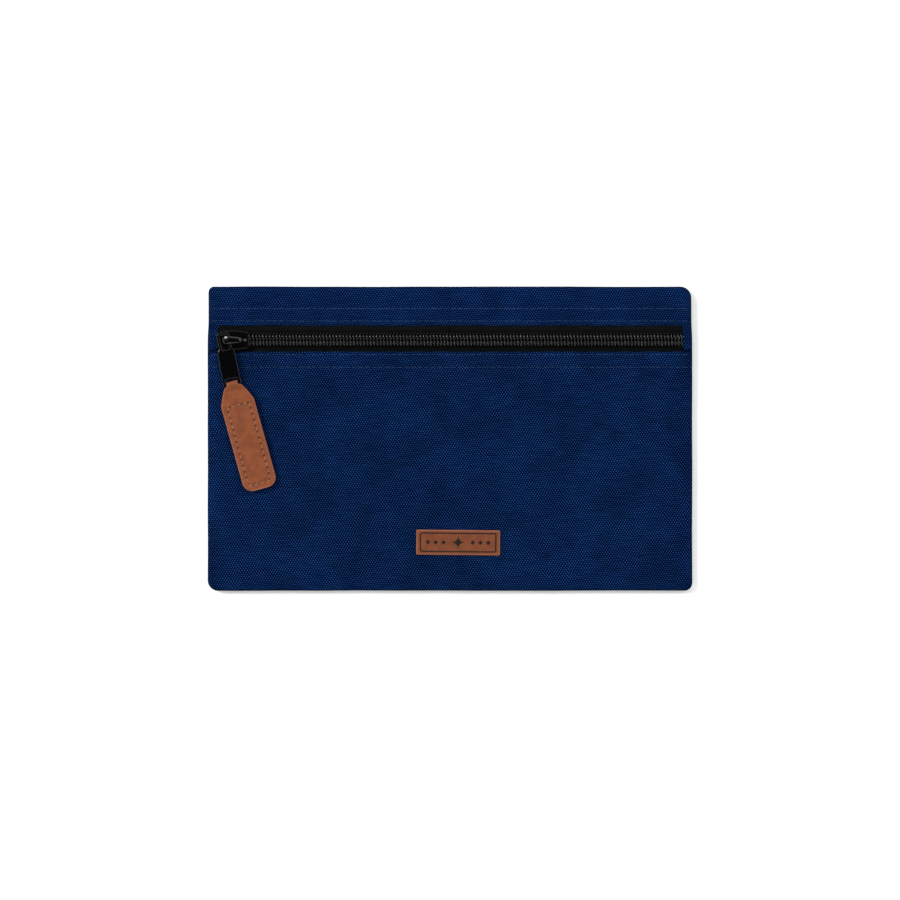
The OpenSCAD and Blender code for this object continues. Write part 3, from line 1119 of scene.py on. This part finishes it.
def pockets():
    slip = pocket("slip_pocket_cloth", "slip_pocket")
    card = pocket("card_pocket_cloth", "card_pocket")
    pocket_mouth("slip_pocket_tape", "slip_pocket_binding", slip)
    pocket_mouth("card_pocket_tape", "card_pocket_binding", card)
    thread = Shape()
    lo, hi = low("card_pocket"), high("card_pocket")
    row_x = high("pocket_stitching")[X] - 0.2
    for x in (-row_x, 0, row_x):
        for start in stitch_starts(lo[Y] + 1, hi[Y] - 1):
            z = float(card(np.array([x]), np.array([start]))[0])
            path = [(x, y, z + rise) for y, rise in stitch_path(start)]
            thread.add(*tube(path, STITCH_R, 6, (1, 0, 0)))
    piece = add_piece("pocket_seam_thread", thread.points, thread.faces)
    finish_piece(piece, "pouch", BLUE_THREAD, ["pocket_stitching"])


# ---- Topstitching ----

def stitch_path(start):
    """Places along a stitch and heights over the cloth: out of one hole and into the next."""
    lift = 0.12
    sink = 0.2
    path = []
    for t in np.linspace(0, 1, 9):
        path.append((start + STITCH_L * t, (sink + lift) * math.sin(math.pi * t) ** 0.5 - sink))
    return path


def topstitching(name, rows, starts):
    """Stitches along X on the front."""
    thread = Shape()
    rng = np.random.default_rng(17)
    for y in rows:
        for start in starts:
            slip = rng.normal(0, 0.05)
            skew = rng.normal(0, 0.06)
            xs, rises = np.array(stitch_path(start)).T
            ys = y + slip + skew * np.linspace(-1, 1, len(xs))
            zs = front_height(xs, ys) + stitch_dip(xs, ys) * 0.5 + rises
            thread.add(*tube(np.stack([xs, ys, zs], axis=1), STITCH_R, 6, (0, 1, 0)))
    return add_piece(name, thread.points, thread.faces)


def front_stitching():
    piece = topstitching("front_panel_thread", HEM_ROWS, ROW_STARTS)
    finish_piece(piece, "pouch", BLUE_THREAD, ["front_panel_stitching"])


def band_stitching():
    def half(side, end):
        starts = [s for s in ROW_STARTS if (s + STITCH_L / 2 < 0) == (side < 0)]
        return topstitching("top_band_thread_" + end, BAND_ROWS, starts)

    lip_halves(half, BLUE_THREAD, ["top_band_stitching"])


# ---- Zip ----

COIL_PITCH = 1.72
COIL_WIRE_R = 0.33
COIL_HEAD = -0.22
COIL_SLANT = 0.3
COIL_THREAD_R = 0.16
COIL_LEFT = WINDOW_LEFT - 1.0
COIL_RIGHT = WINDOW_RIGHT + 1.0
TAPE_T = 0.4

# These stitches are coloured lighter than the coil, as a painted glint on the wires.
# Rows of thread over each coil, by its side of the zip: where a stitch starts and ends
# out from the middle, how far it leans along the zip, and its height over the tape.
COIL_ROWS = {
    1: [(1.1, 1.65, 0.1, 1.88), (3.2, 3.7, 0.1, 0.06)],
    -1: [(0.25, 1.2, 0.85, 1.8), (1.5, 2.45, 0.85, 1.8)],
}


def zip_parting(x):
    """How far each coil stands off the middle: they part round the post inside the slider."""
    return 1.2 * smoothstep((SLIDER_LOW[X] + 13 - x) / 7)


def coil_squash(x):
    """Share of a coil's height that is left: its ends are sewn flat under the end tabs."""
    end_room = np.minimum(x - WINDOW_LEFT, WINDOW_RIGHT - x)
    return 0.45 + 0.55 * smoothstep(end_room / 6)


def tape_sheet(name, side, x0, x1):
    """One side of the zip's tape, between two places along it, with a ridge past the coil."""
    end_x = SIDE_X - 2.6
    xs = np.array(spaced(max(x0, -end_x), min(x1, end_x), GRID_STEP))
    under_front = front_height(xs, np.full_like(xs, ZIP_Y)) - 2 * FOLD_R - 0.1
    level = np.minimum(TAPE_TOP_Z - 0.03, under_front)
    tape = Cloth()
    for out in [0.9, 1.4, 2.2, 3.2, 3.6, 4.2, 5.0, 6.0, 7.0, 8.2, 10.0, 12.5, TAPE_OUT]:
        ridge = 0.06 * math.exp(-(((out - 4.2) / 0.5) ** 2))
        groove = 0.05 * math.exp(-(((out - 3.4) / 0.4) ** 2))
        shift = zip_parting(xs) * smoothstep((4 - out) / 3) * 0.5
        tape.add_row(xs, ZIP_Y + side * (out + shift), level + ridge - groove, flat_y=side * out)
    tape.join_rows(flip=side < 0)
    piece = add_piece(name, tape.points, tape.faces, {"cloth": tape.flat})
    thicken(piece, TAPE_T)
    return piece


def coil_wire(name, side, x0, x1, phase):
    """A coil of nylon wire from x0 to x1, its heads towards the middle of the zip."""
    per_turn = 14
    turns = int((x1 - x0) / COIL_PITCH)
    angle = np.linspace(0, 2 * math.pi * turns, per_turn * turns + 1)
    whole_turns = np.floor(angle / (2 * math.pi) + 1e-9)
    in_turn = angle / (2 * math.pi) - whole_turns
    lean = side * COIL_SLANT
    over = lean * np.clip(in_turn * 2, 0, 1)
    under = (1 - lean) * smoothstep((in_turn - 0.5) * 2)
    x = x0 + COIL_PITCH * (whole_turns + over + under + phase)
    out_mid = (COIL_HEAD + COIL_OUT) / 2
    reach = (COIL_OUT - COIL_HEAD) / 2 - COIL_WIRE_R
    wave = np.cos(angle)
    out = out_mid + reach * np.sign(wave) * np.abs(wave) ** 0.8
    out = out + zip_parting(x) * (0.75 - 0.25 * wave)
    half_z = (COIL_TOP_Z - TAPE_TOP_Z) / 2 - 0.05
    height = half_z + (half_z - COIL_WIRE_R) * np.sin(angle)
    z = TAPE_TOP_Z + height * coil_squash(x)
    path = np.stack([x, ZIP_Y + side * out, z], axis=1)
    return add_piece(name, *tube(path, COIL_WIRE_R, 7, (1, 0, 0)))


def coil_thread_glint(name, side, x0, x1):
    """Thread that sews a coil to its tape, one short stitch over each turn in each row, coloured as a
    painted glint.
    """
    thread = Shape()
    share = np.linspace(0, 1, 7)
    arch = np.sin(math.pi * share) ** 0.6
    for x in np.arange(x0 + 0.5, x1 - 0.5, COIL_PITCH):
        for out0, out1, slant, height in COIL_ROWS[side]:
            xs = x + slant * (share - 0.5)
            out = out0 + (out1 - out0) * share + zip_parting(xs)
            z = TAPE_TOP_Z + (height - 0.28 * (1 - arch)) * coil_squash(xs)
            path = np.stack([xs, ZIP_Y + side * out, z], axis=1)
            thread.add(*tube(path, COIL_THREAD_R, 6, (0, 0, 1)))
    return add_piece(name, thread.points, thread.faces)


def upper_zip():
    """The band's side of the zip, in halves."""
    middle = COIL_LEFT + COIL_PITCH * int(-COIL_LEFT / COIL_PITCH)

    def tape(side, end):
        x0, x1 = (-TAPE_X, 0) if side < 0 else (0, TAPE_X)
        return tape_sheet("zip_tape_upper_" + end + "_cloth", 1, x0, x1)

    def coil(side, end):
        x0, x1 = (COIL_LEFT, middle + 0.1) if side < 0 else (middle, COIL_RIGHT)
        return coil_wire("zip_coil_upper_" + end + "_wire", 1, x0, x1, 0.0)

    def thread(side, end):
        x0, x1 = (COIL_LEFT, middle + 0.4) if side < 0 else (middle - 0.4, COIL_RIGHT)
        return coil_thread_glint("zip_thread_glint_upper_" + end, 1, x0, x1)

    lip_halves(tape, ZIP_TAPE, ["zip_tape_upper"])
    lip_halves(coil, COIL, ["zip_coil_upper"])
    lip_halves(thread, COIL_THREAD_GLINT)


def lower_zip():
    """The front panel's side of the zip. Its coil stands half a turn along from the other."""
    tape = tape_sheet("zip_tape_lower_cloth", -1, -TAPE_X, TAPE_X)
    finish_piece(tape, "pouch", ZIP_TAPE, ["zip_tape_lower"])
    coil = coil_wire("zip_coil_lower_wire", -1, COIL_LEFT, COIL_RIGHT, 0.5)
    finish_piece(coil, "pouch", COIL, ["zip_coil_lower"])
    thread = coil_thread_glint("zip_thread_glint_lower", -1, COIL_LEFT, COIL_RIGHT)
    finish_piece(thread, "pouch", COIL_THREAD_GLINT)


# ---- Slider ----

SLIDER_L = SLIDER_HIGH[X] - SLIDER_LOW[X]
SLIDER_HALF_W = (SLIDER_HIGH[Y] - SLIDER_LOW[Y]) / 2
SLIDER_PLATE_T = 0.9
NOSE_HALF_W = 2.9
TAIL_HALF_W = 4.1
SHOULDER_X = (2.4, 8.5)
CHANNEL_HALF_W = 3.4
FLANGE_Z = 7.3
FLANGE_X = 15.4
CROWN_RISE = 0.85


def slider_outline():
    """The plates' outline: a round nose, broad shoulders and a narrower tail."""
    half = [(0, NOSE_HALF_W)] + [(x, SLIDER_HALF_W) for x in SHOULDER_X] + [(SLIDER_L, TAIL_HALF_W)]
    corners = [(x, -w) for x, w in half] + [(x, w) for x, w in half[::-1]]
    radii = [2.2, 2.6, 5.0, 1.6]
    return round_corners(corners, radii + radii[::-1])


def slider_flange(side):
    """Outline of the rim that keeps the coil inside the slider on one side."""
    outer = SLIDER_HALF_W - 0.06
    corners = [
        (3.0, CHANNEL_HALF_W), (2.9, outer * 0.93), (4.4, outer), (SHOULDER_X[1], outer),
        (FLANGE_X, TAIL_HALF_W), (FLANGE_X, CHANNEL_HALF_W),
    ]
    return round_corners([(x, side * y) for x, y in corners], 0.4, 4)


def slider_body():
    body = Shape()
    outline = slider_outline()
    top_z = SLIDER_HIGH[Z]
    bottom_z = SLIDER_LOW[Z]
    body.add(*plate([outline], bottom_z, bottom_z + SLIDER_PLATE_T, 0.3))
    body.add(*plate([outline], top_z - SLIDER_PLATE_T - 0.1, top_z, 0.26, 4))
    for side in (-1, 1):
        body.add(*plate([slider_flange(side)], FLANGE_Z, top_z - 0.3, 0.25))
    post = round_corners([(0.5, -0.55), (4.6, -0.3), (5.5, 0), (4.6, 0.3), (0.5, 0.55)], 0.3, 4)
    body.add(*plate([post], bottom_z + 0.4, top_z - 0.4, 0.05))
    points = np.array(body.points) + [SLIDER_LOW[X], ZIP_Y, 0]
    piece = add_piece("slider_body_metal", points, body.faces)
    even_normals(piece)
    finish_piece(piece, "slider", METAL, ["slider_body"])


def swept_bar(path, half_widths, half_heights, sides=28, power=2.7):
    """A bar along a path in the X-Z plane, with a rounded section and closed ends."""
    points = []
    for (x, z), (tx, tz), w, h in zip(path, directions(path), half_widths, half_heights):
        for k in range(sides):
            a = 2 * math.pi * k / sides
            c, s = math.cos(a), math.sin(a)
            across = w * np.sign(c) * abs(c) ** (2 / power)
            up = h * np.sign(s) * abs(s) ** (2 / power)
            points.append((x - tz * up, across, z + tx * up))
    return points, ring_faces(len(path), sides, flip=True)


def slider_crown():
    """The arch that holds the tab: broad over the nose, slimmer towards the tail."""
    lo, hi = low("slider_crown"), high("slider_crown")
    leg_r = 1.05
    roof_half_t = 0.45
    roof_half_w = (hi[Y] - lo[Y]) / 2
    bend = 1.2
    base_z = lo[Z] - 0.3
    roof_z = hi[Z] - 0.65
    front_x = TAB_PIVOT[X]
    back_x = hi[X] - roof_half_w
    foot = np.array([front_x, base_z])
    nose = np.array([front_x, hi[Z] - 0.9])
    back = np.array([back_x, roof_z])
    heel = np.array([back_x + 0.6, base_z])

    def off(corner, other):
        return corner + (other - corner) / np.linalg.norm(other - corner) * bend

    path = [foot] + turn_round(off(nose, foot), nose, off(nose, back), 8)
    roof_start = path[-1]
    roof_end = nose + (back - nose) * 0.8
    path += [roof_start + (roof_end - roof_start) * k / 6 for k in range(1, 6)]
    path += turn_round(off(back, nose), back, off(back, heel), 8) + [heel]
    path = np.array(path)
    run = distances_along(path)
    total = run[-1]
    on_roof = smoothstep((run - 1.2) / 2.0) * smoothstep((total - run - 1.2) / 2.4)
    taper = 1 - 0.5 * run / total
    half_widths = leg_r + (roof_half_w * taper - leg_r) * on_roof
    half_heights = leg_r + (roof_half_t - leg_r) * on_roof
    points, faces = swept_bar(path, half_widths, half_heights)
    points = np.array(points)
    x = points[:, X]
    wedge = smoothstep((x - front_x + 1.2) / 4.4) * smoothstep((back_x + 1 - x) / 7)
    points[:, Z] += CROWN_RISE * wedge * (points[:, Z] > roof_z - 0.1)
    points[:, Y] += ZIP_Y
    piece = add_piece("slider_crown_metal", points, faces)
    finish_piece(piece, "slider", METAL, ["slider_crown"])


def slider_lock():
    """Leaf spring lying on the plate behind the crown."""
    lo, hi = low("slider_lock"), high("slider_lock")
    mid_y = (lo[Y] + hi[Y]) / 2
    corners = [(lo[X], lo[Y]), (hi[X], lo[Y] + 0.2), (hi[X], hi[Y] - 0.2), (lo[X], hi[Y])]
    outline = round_corners(corners, 0.3, 4)
    points, faces = plate([outline], lo[Z] - 0.1, hi[Z], 0.15)
    arched = [(x, y, z - 0.18 * ((y - mid_y) / 0.7) ** 2 * (z > lo[Z])) for x, y, z in points]
    piece = add_piece("slider_lock_spring", arched, faces)
    even_normals(piece)
    finish_piece(piece, "slider", SPRING, ["slider_lock"])


# ---- Pull ----

TO_BAR = BAR_MID - TAB_PIVOT
TAB_TILT = math.atan2(TO_BAR[X], -TO_BAR[Y])
BAR_U = float(np.linalg.norm(TO_BAR))
TAB_SLOPE = math.asin(-TO_BAR[Z] / BAR_U)
BAR_R = 0.6
SLOT_HALF_W = 3.2

TAB_FRAME = (
    Matrix.Translation(Vector(TAB_PIVOT))
    @ Matrix.Rotation(TAB_TILT, 4, "Z")
    @ Matrix.Rotation(TAB_SLOPE, 4, "X")
)


def pull_tab():
    """Die-cast tab: an eye for the crown, a plain face, and a bar that holds the leather."""
    eye_half, half_top, half_bottom = 3.2, 4.3, 4.7
    top_y = 3.9
    end_y = -BAR_U - BAR_R
    slot_top = -BAR_U + 3.1
    half = [
        (SLOT_HALF_W, slot_top), (SLOT_HALF_W, end_y), (half_bottom, end_y), (half_top, -5.6),
        (eye_half, -4.4), (eye_half, top_y),
    ]
    radii = [0.3, 0.3, 0.5, 0.8, 0.5, 1.8]
    edge = half + [(-x, y) for x, y in half[::-1]]
    outline = round_corners(edge, radii + radii[::-1])
    eye = round_corners([(-1.8, -5.2), (1.8, -5.2), (1.8, 2.5), (-1.8, 2.5)], 0.9)
    tab = Shape()
    tab.add(*plate([outline, eye], -0.5, 0.5, 0.34, 4))
    bar = [(x, -BAR_U, 0) for x in np.linspace(-SLOT_HALF_W - 0.3, SLOT_HALF_W + 0.3, 5)]
    tab.add(*tube(bar, BAR_R - 0.1, 16, (0, 0, 1)))
    piece = add_piece("pull_tab_metal", moved(tab.points, TAB_FRAME), tab.faces)
    even_normals(piece)
    finish_piece(piece, "pull_tab", METAL, ["pull_tab"])


LEATHER_YAW = math.radians(4.5)
LEATHER_SLOPE = math.radians(0.79)
LEATHER_L = 55.5
LEATHER_HALF_W = 8.75
LEATHER_CORNER_R = 5.0
NECK_HALF_W = 4.85
LOOP_HALF_W = 2.9
SHOULDER_U = 9.7
LOOP_MID_R = 1.35
LEATHER_PLY_T = 0.97
LEATHER_INSET = 2.9
LEATHER_TOP_ROW = 10.8
LEATHER_END_ROW = LEATHER_L - LEATHER_INSET
LEATHER_PITCH = 3.2
LEATHER_ROW_R = 1.6
LEATHER_RIM = 0.3
STITCH_SHARE = 0.6

# Points over half the leather's width, close together at the row of stitches.
LEATHER_SHARES = [0, 0.2, 0.38, 0.5, 0.56, 0.595, 0.625, 0.655, 0.685, 0.715, 0.75, 0.8, 0.87, 0.95]

LEATHER_FRAME = (
    Matrix.Translation(Vector(BAR_MID))
    @ Matrix.Rotation(TAB_TILT + LEATHER_YAW, 4, "Z")
    @ Matrix.Rotation(LEATHER_SLOPE, 4, "X")
)


def leather_half_width(u, front):
    """Half the leather's width at a distance u from the bar."""
    widen = smoothstep((u - 0.2) / 1.1) if front else smoothstep((u - 1.0) / 1.8)
    neck = LOOP_HALF_W + (NECK_HALF_W - LOOP_HALF_W) * widen
    slant = np.clip((u - 1.6) / (SHOULDER_U - 1.6), 0, 1) ** 0.82
    width = neck + (LEATHER_HALF_W - NECK_HALF_W) * slant
    past = np.clip(u - (LEATHER_L - LEATHER_CORNER_R), 0, LEATHER_CORNER_R)
    return width - LEATHER_CORNER_R + np.sqrt(np.maximum(LEATHER_CORNER_R ** 2 - past ** 2, 0))


def stitch_line_distance(x, u):
    """Distance from the leather's rectangle of stitches."""
    half = LEATHER_HALF_W - LEATHER_INSET
    middle = (LEATHER_TOP_ROW + LEATHER_END_ROW) / 2
    reach = (LEATHER_END_ROW - LEATHER_TOP_ROW) / 2
    out_x = np.abs(x) - half
    out_u = np.abs(u - middle) - reach
    far = np.hypot(np.maximum(out_x + LEATHER_ROW_R, 0), np.maximum(out_u + LEATHER_ROW_R, 0))
    inside = np.minimum(np.maximum(out_x, out_u) + LEATHER_ROW_R, 0)
    return np.abs(far + inside - LEATHER_ROW_R)


def leather_surface(x, u):
    """How far the leather's face stands over its plain level."""
    groove = 0.2 * math.exp(-((stitch_line_distance(x, u) / 0.55) ** 2))
    half = float(leather_half_width(np.array(u), True))
    crown = 0.16 * (1 - min(abs(x) / half, 1) ** 2) * float(smoothstep((u - 4) / 8))
    return crown - groove


def leather_stations():
    """Places along the strip: distance from the bar, and 1 on the front or -1 on the back.

    Round the bar the second value runs from 1 to -1.
    """
    straight = LEATHER_L - LEATHER_CORNER_R
    turns = [math.pi / 2 * i / 8 for i in range(1, 9)]
    corner_us = [LEATHER_L - LEATHER_CORNER_R * (1 - math.sin(a)) for a in turns]
    front = spaced(0, straight, 0.35) + corner_us
    back = spaced(0, straight, 1.2) + corner_us
    loop = np.linspace(0, math.pi, 13)[1:-1]
    stations = [(u, 1) for u in front[::-1]]
    stations += [(-LOOP_MID_R * math.sin(a), math.cos(a)) for a in loop]
    return stations + [(u, -1) for u in back]


def leather_middle(stations):
    """Middle of the strip's thickness at each station: distance from the bar, and height."""
    gap = 0.015
    middle = []
    for u, level in stations:
        reach = LOOP_MID_R
        if abs(level) == 1:
            reach += (LEATHER_PLY_T / 2 + gap - LOOP_MID_R) * float(smoothstep(u / 3.6))
        middle.append((u, level * reach))
    return np.array(middle)


def leather_ring(u, level):
    """The strip's section: each point's x, height off the middle, and share of the width."""
    edge_share = 1.05
    half_t = LEATHER_PLY_T / 2
    half = float(leather_half_width(np.array(u), level > 0)) - LEATHER_RIM
    columns = [-s for s in LEATHER_SHARES[:0:-1]] + LEATHER_SHARES
    ring = []
    for side in (1, -1):
        for share in columns[::side]:
            x = share * half / LEATHER_SHARES[-1]
            lift = leather_surface(x, u) if side > 0 and level == 1 else 0
            ring.append((x, side * half_t + lift, abs(share)))
        edge_x = side * (half + LEATHER_RIM * math.cos(math.pi / 6))
        edge_z = side * (half_t - LEATHER_RIM + LEATHER_RIM * math.sin(math.pi / 6))
        ring += [(edge_x, edge_z, edge_share), (edge_x, -edge_z, edge_share)]
    return ring


def leather_pull():
    """One strip of leather: down the front, round the tab's bar and down the back."""
    stations = leather_stations()
    middle = leather_middle(stations)
    holes = stitch_holes()
    points, edge_highlights, pressed_and_hole_shade = [], [], []
    for (u, level), (mid_u, mid_z), (tu, tz) in zip(stations, middle, directions(middle)):
        # Painted highlight on the strip's rounded end and along its edges.
        end_highlight = float(smoothstep((u - LEATHER_L + 1.2) / 1.2))
        ring = leather_ring(u, level)
        for x, lift, share in ring:
            points.append((x, -(mid_u + tz * lift), mid_z - tu * lift))
            edge_highlights.append(max(float(smoothstep((share - 0.86) / 0.16)), end_highlight))
            # Painted shade in the stitch holes: darker round each gap between stitches.
            hole = float(np.min(np.hypot(holes[:, 0] - x, holes[:, 1] + u)))
            mark = 0.9 * float(smoothstep((0.75 - hole) / 0.5))
            pressed_and_hole_shade.append(mark if level > 0 and lift > 0 else 0.0)
    faces = ring_faces(len(stations), len(ring))
    attributes = {"edge": edge_highlights, "pressed_and_hole_shade": pressed_and_hole_shade}
    piece = add_piece("leather_pull_strip", moved(points, LEATHER_FRAME), faces, attributes)
    finish_piece(piece, "leather_pull", LEATHER, ["leather_pull"])


def leather_stitch_runs():
    """Points along each stitch round the leather's rectangle, as (x, y) in its own frame."""
    half = LEATHER_HALF_W - LEATHER_INSET
    top, end = -LEATHER_TOP_ROW, -LEATHER_END_ROW
    outline = round_corners([(-half, top), (half, top), (half, end), (-half, end)], LEATHER_ROW_R)
    closed = np.vstack([outline, outline[:1]])
    run = distances_along(closed)
    count = round(run[-1] / LEATHER_PITCH)
    pitch = run[-1] / count
    runs = []
    for i in range(count):
        places = np.linspace(i * pitch, (i + STITCH_SHARE) * pitch, 7)
        xs = np.interp(places, run, closed[:, 0])
        ys = np.interp(places, run, closed[:, 1])
        runs.append(np.stack([xs, ys], axis=1))
    return runs


def stitch_holes():
    """Middle of the gap after each stitch, as (x, y) in the leather's own frame."""
    runs = leather_stitch_runs()
    return np.array([(run[-1] + after[0]) / 2 for run, after in zip(runs, runs[1:] + runs[:1])])


def leather_stitching():
    thread = Shape()
    for run in leather_stitch_runs():
        path = []
        for i, (x, y) in enumerate(run):
            t = i / (len(run) - 1)
            rise = -0.16 + 0.32 * math.sin(math.pi * t) ** 0.5
            path.append((x, y, LEATHER_PLY_T + 0.02 + leather_surface(x, -y) + rise))
        thread.add(*tube(path, 0.2, 6, (0, 0, 1)))
    piece = add_piece("leather_pull_thread", moved(thread.points, LEATHER_FRAME), thread.faces)
    finish_piece(piece, "leather_pull", TAN_THREAD, ["leather_pull_stitching"])


# ---- Label ----

def label_mark(x, y):
    """1 where the label is pressed and darkened: a border line, a compass star and diamonds."""
    line = 0.36
    soft = 0.13
    corner = 0.8
    out_x = abs(x) - (LABEL_W / 2 - 2.2)
    out_y = abs(y) - (LABEL_H / 2 - 1.75)
    far = math.hypot(max(out_x + corner, 0), max(out_y + corner, 0))
    border = abs(far + min(max(out_x, out_y) + corner, 0) - corner) - line
    sharp = 0.56
    star = abs(x) ** sharp + abs(y) ** sharp - 3.6 ** sharp
    marks = [border, star * 1.1]
    for middle in (7.5, 11.5, 15.5):
        marks.append((abs(abs(x) - middle) + abs(y) - 1.25) * 0.7)
    return float(smoothstep((soft - min(marks)) / (2 * soft)))


def label():
    step = 0.22
    corner = 0.7
    rim = 0.35
    half_w, half_h = LABEL_W / 2, LABEL_H / 2
    xs = spaced(-half_w, half_w, step)
    ys = spaced(-half_h, half_h, step)
    points, pressed_and_hole_shade, edge_highlights = [], [], []
    for y in ys:
        past_y = max(abs(y) - (half_h - corner), 0)
        drawn = corner - math.sqrt(max(corner * corner - past_y * past_y, 0))
        for x in xs:
            px = x * (half_w - drawn) / half_w
            d = min(half_w - drawn - abs(px), half_h - abs(y))
            t = min(max(d / rim, 0), 1)
            mark = label_mark(px, y)
            droop = rim * (1 - math.sqrt(1 - (1 - t) ** 2))
            points.append((px, y, LABEL_TOP_Z - droop - 0.13 * mark))
            pressed_and_hole_shade.append(mark * 0.96)
            # Painted highlight along the label's rim.
            edge_highlights.append(float(smoothstep((1.0 - d) / 0.9)))
    faces = grid_faces(len(ys), len(xs))
    first, last, left, right = grid_border(len(ys), len(xs))
    ring = first + right[1:] + last[-2::-1] + left[-2:0:-1]
    foot = list(range(len(points), len(points) + len(ring)))
    # The label's sides get the full painted highlight.
    for n in ring:
        points.append((points[n][0], points[n][1], TOP_Z - 0.1))
        pressed_and_hole_shade.append(0.0)
        edge_highlights.append(1.0)
    faces += loop_faces(ring, foot, flip=True)
    faces.append(tuple(foot)[::-1])
    middle = Matrix.Translation((LABEL_MID[X], LABEL_MID[Y], 0))
    place = middle @ Matrix.Rotation(LABEL_TILT, 4, "Z")
    attributes = {"pressed_and_hole_shade": pressed_and_hole_shade, "edge": edge_highlights}
    piece = add_piece("label_leather", moved(points, place), faces, attributes)
    finish_piece(piece, "pouch", LABEL_LEATHER, ["label_patch", "label_mark"])


# ---- Studio ----

def camera():
    """Straight above, as far off as makes the frame about 465 mm wide on the front's face."""
    data = bpy.data.cameras.new("camera")
    data.lens = 100
    data.sensor_width = 36
    data.clip_end = 50
    eye = bpy.data.objects.new("camera", data)
    eye.location = (0, -0.00586, TOP_Z * MM + 1.2851)
    bpy.context.scene.collection.objects.link(eye)
    bpy.context.scene.camera = eye


def sun(name, azimuth, elevation, strength, spread):
    """A broad soft light from far off. Azimuth counts from +Y towards +X, in degrees."""
    data = bpy.data.lights.new(name, "SUN")
    data.energy = strength
    data.angle = math.radians(spread)
    light = bpy.data.objects.new(name, data)
    turn = math.radians(azimuth)
    flat = math.cos(math.radians(elevation))
    source = Vector((math.sin(turn) * flat, math.cos(turn) * flat, math.sin(math.radians(elevation))))
    light.rotation_euler = source.to_track_quat("Z", "Y").to_euler()
    bpy.context.scene.collection.objects.link(light)


def studio():
    camera()
    sun("key_light", -62, 43, 2.55, 22)
    sun("right_light", 75, 46, 0.9, 45)
    sun("front_light", 190, 48, 0.85, 50)
    sun("back_light", 10, 50, 0.75, 50)
    world = bpy.data.worlds.new("studio")
    world.use_nodes = True
    nodes, links = world.node_tree.nodes, world.node_tree.links
    upward = nodes.new("ShaderNodeSeparateXYZ")
    links.new(nodes.new("ShaderNodeTexCoord").outputs["Generated"], upward.inputs[0])
    fall = nodes.new("ShaderNodeMapRange")
    fall.interpolation_type = "SMOOTHSTEP"
    for socket, value in zip(fall.inputs[1:], (0.35, 0.85, 0.42, 0.03)):
        socket.default_value = value
    links.new(upward.outputs[2], fall.inputs[0])
    links.new(fall.outputs[0], nodes["Background"].inputs["Color"])
    bpy.context.scene.world = world
    bpy.context.scene.view_settings.view_transform = "Standard"
    half = 6000
    points = [(-half, -half, 0), (half, -half, 0), (half, half, 0), (-half, half, 0)]
    floor = add_piece("floor", points, [(0, 1, 2, 3)])
    paper = Material("floor_paper", Roughness=0.9, Specular_IOR_Level=0.1, Emission_Strength=0.16)
    paper.set("Base Color", rgb(0.97, 0.97, 0.97))
    paper.set("Emission Color", rgb(1.0, 1.0, 1.0))
    floor.data.materials.append(paper.material)


# ---- Putting it together ----

studio()
back_panel()
back_lining()
seam_binding()
pockets()
front_panel()
front_lining()
front_stitching()
top_band()
band_facing()
band_stitching()
end_tab("end_tab_left_cloth", -1, "end_tab_left")
end_tab("end_tab_right_cloth", 1, "end_tab_right")
upper_zip()
lower_zip()
slider_body()
slider_crown()
slider_lock()
pull_tab()
leather_pull()
leather_stitching()
label()
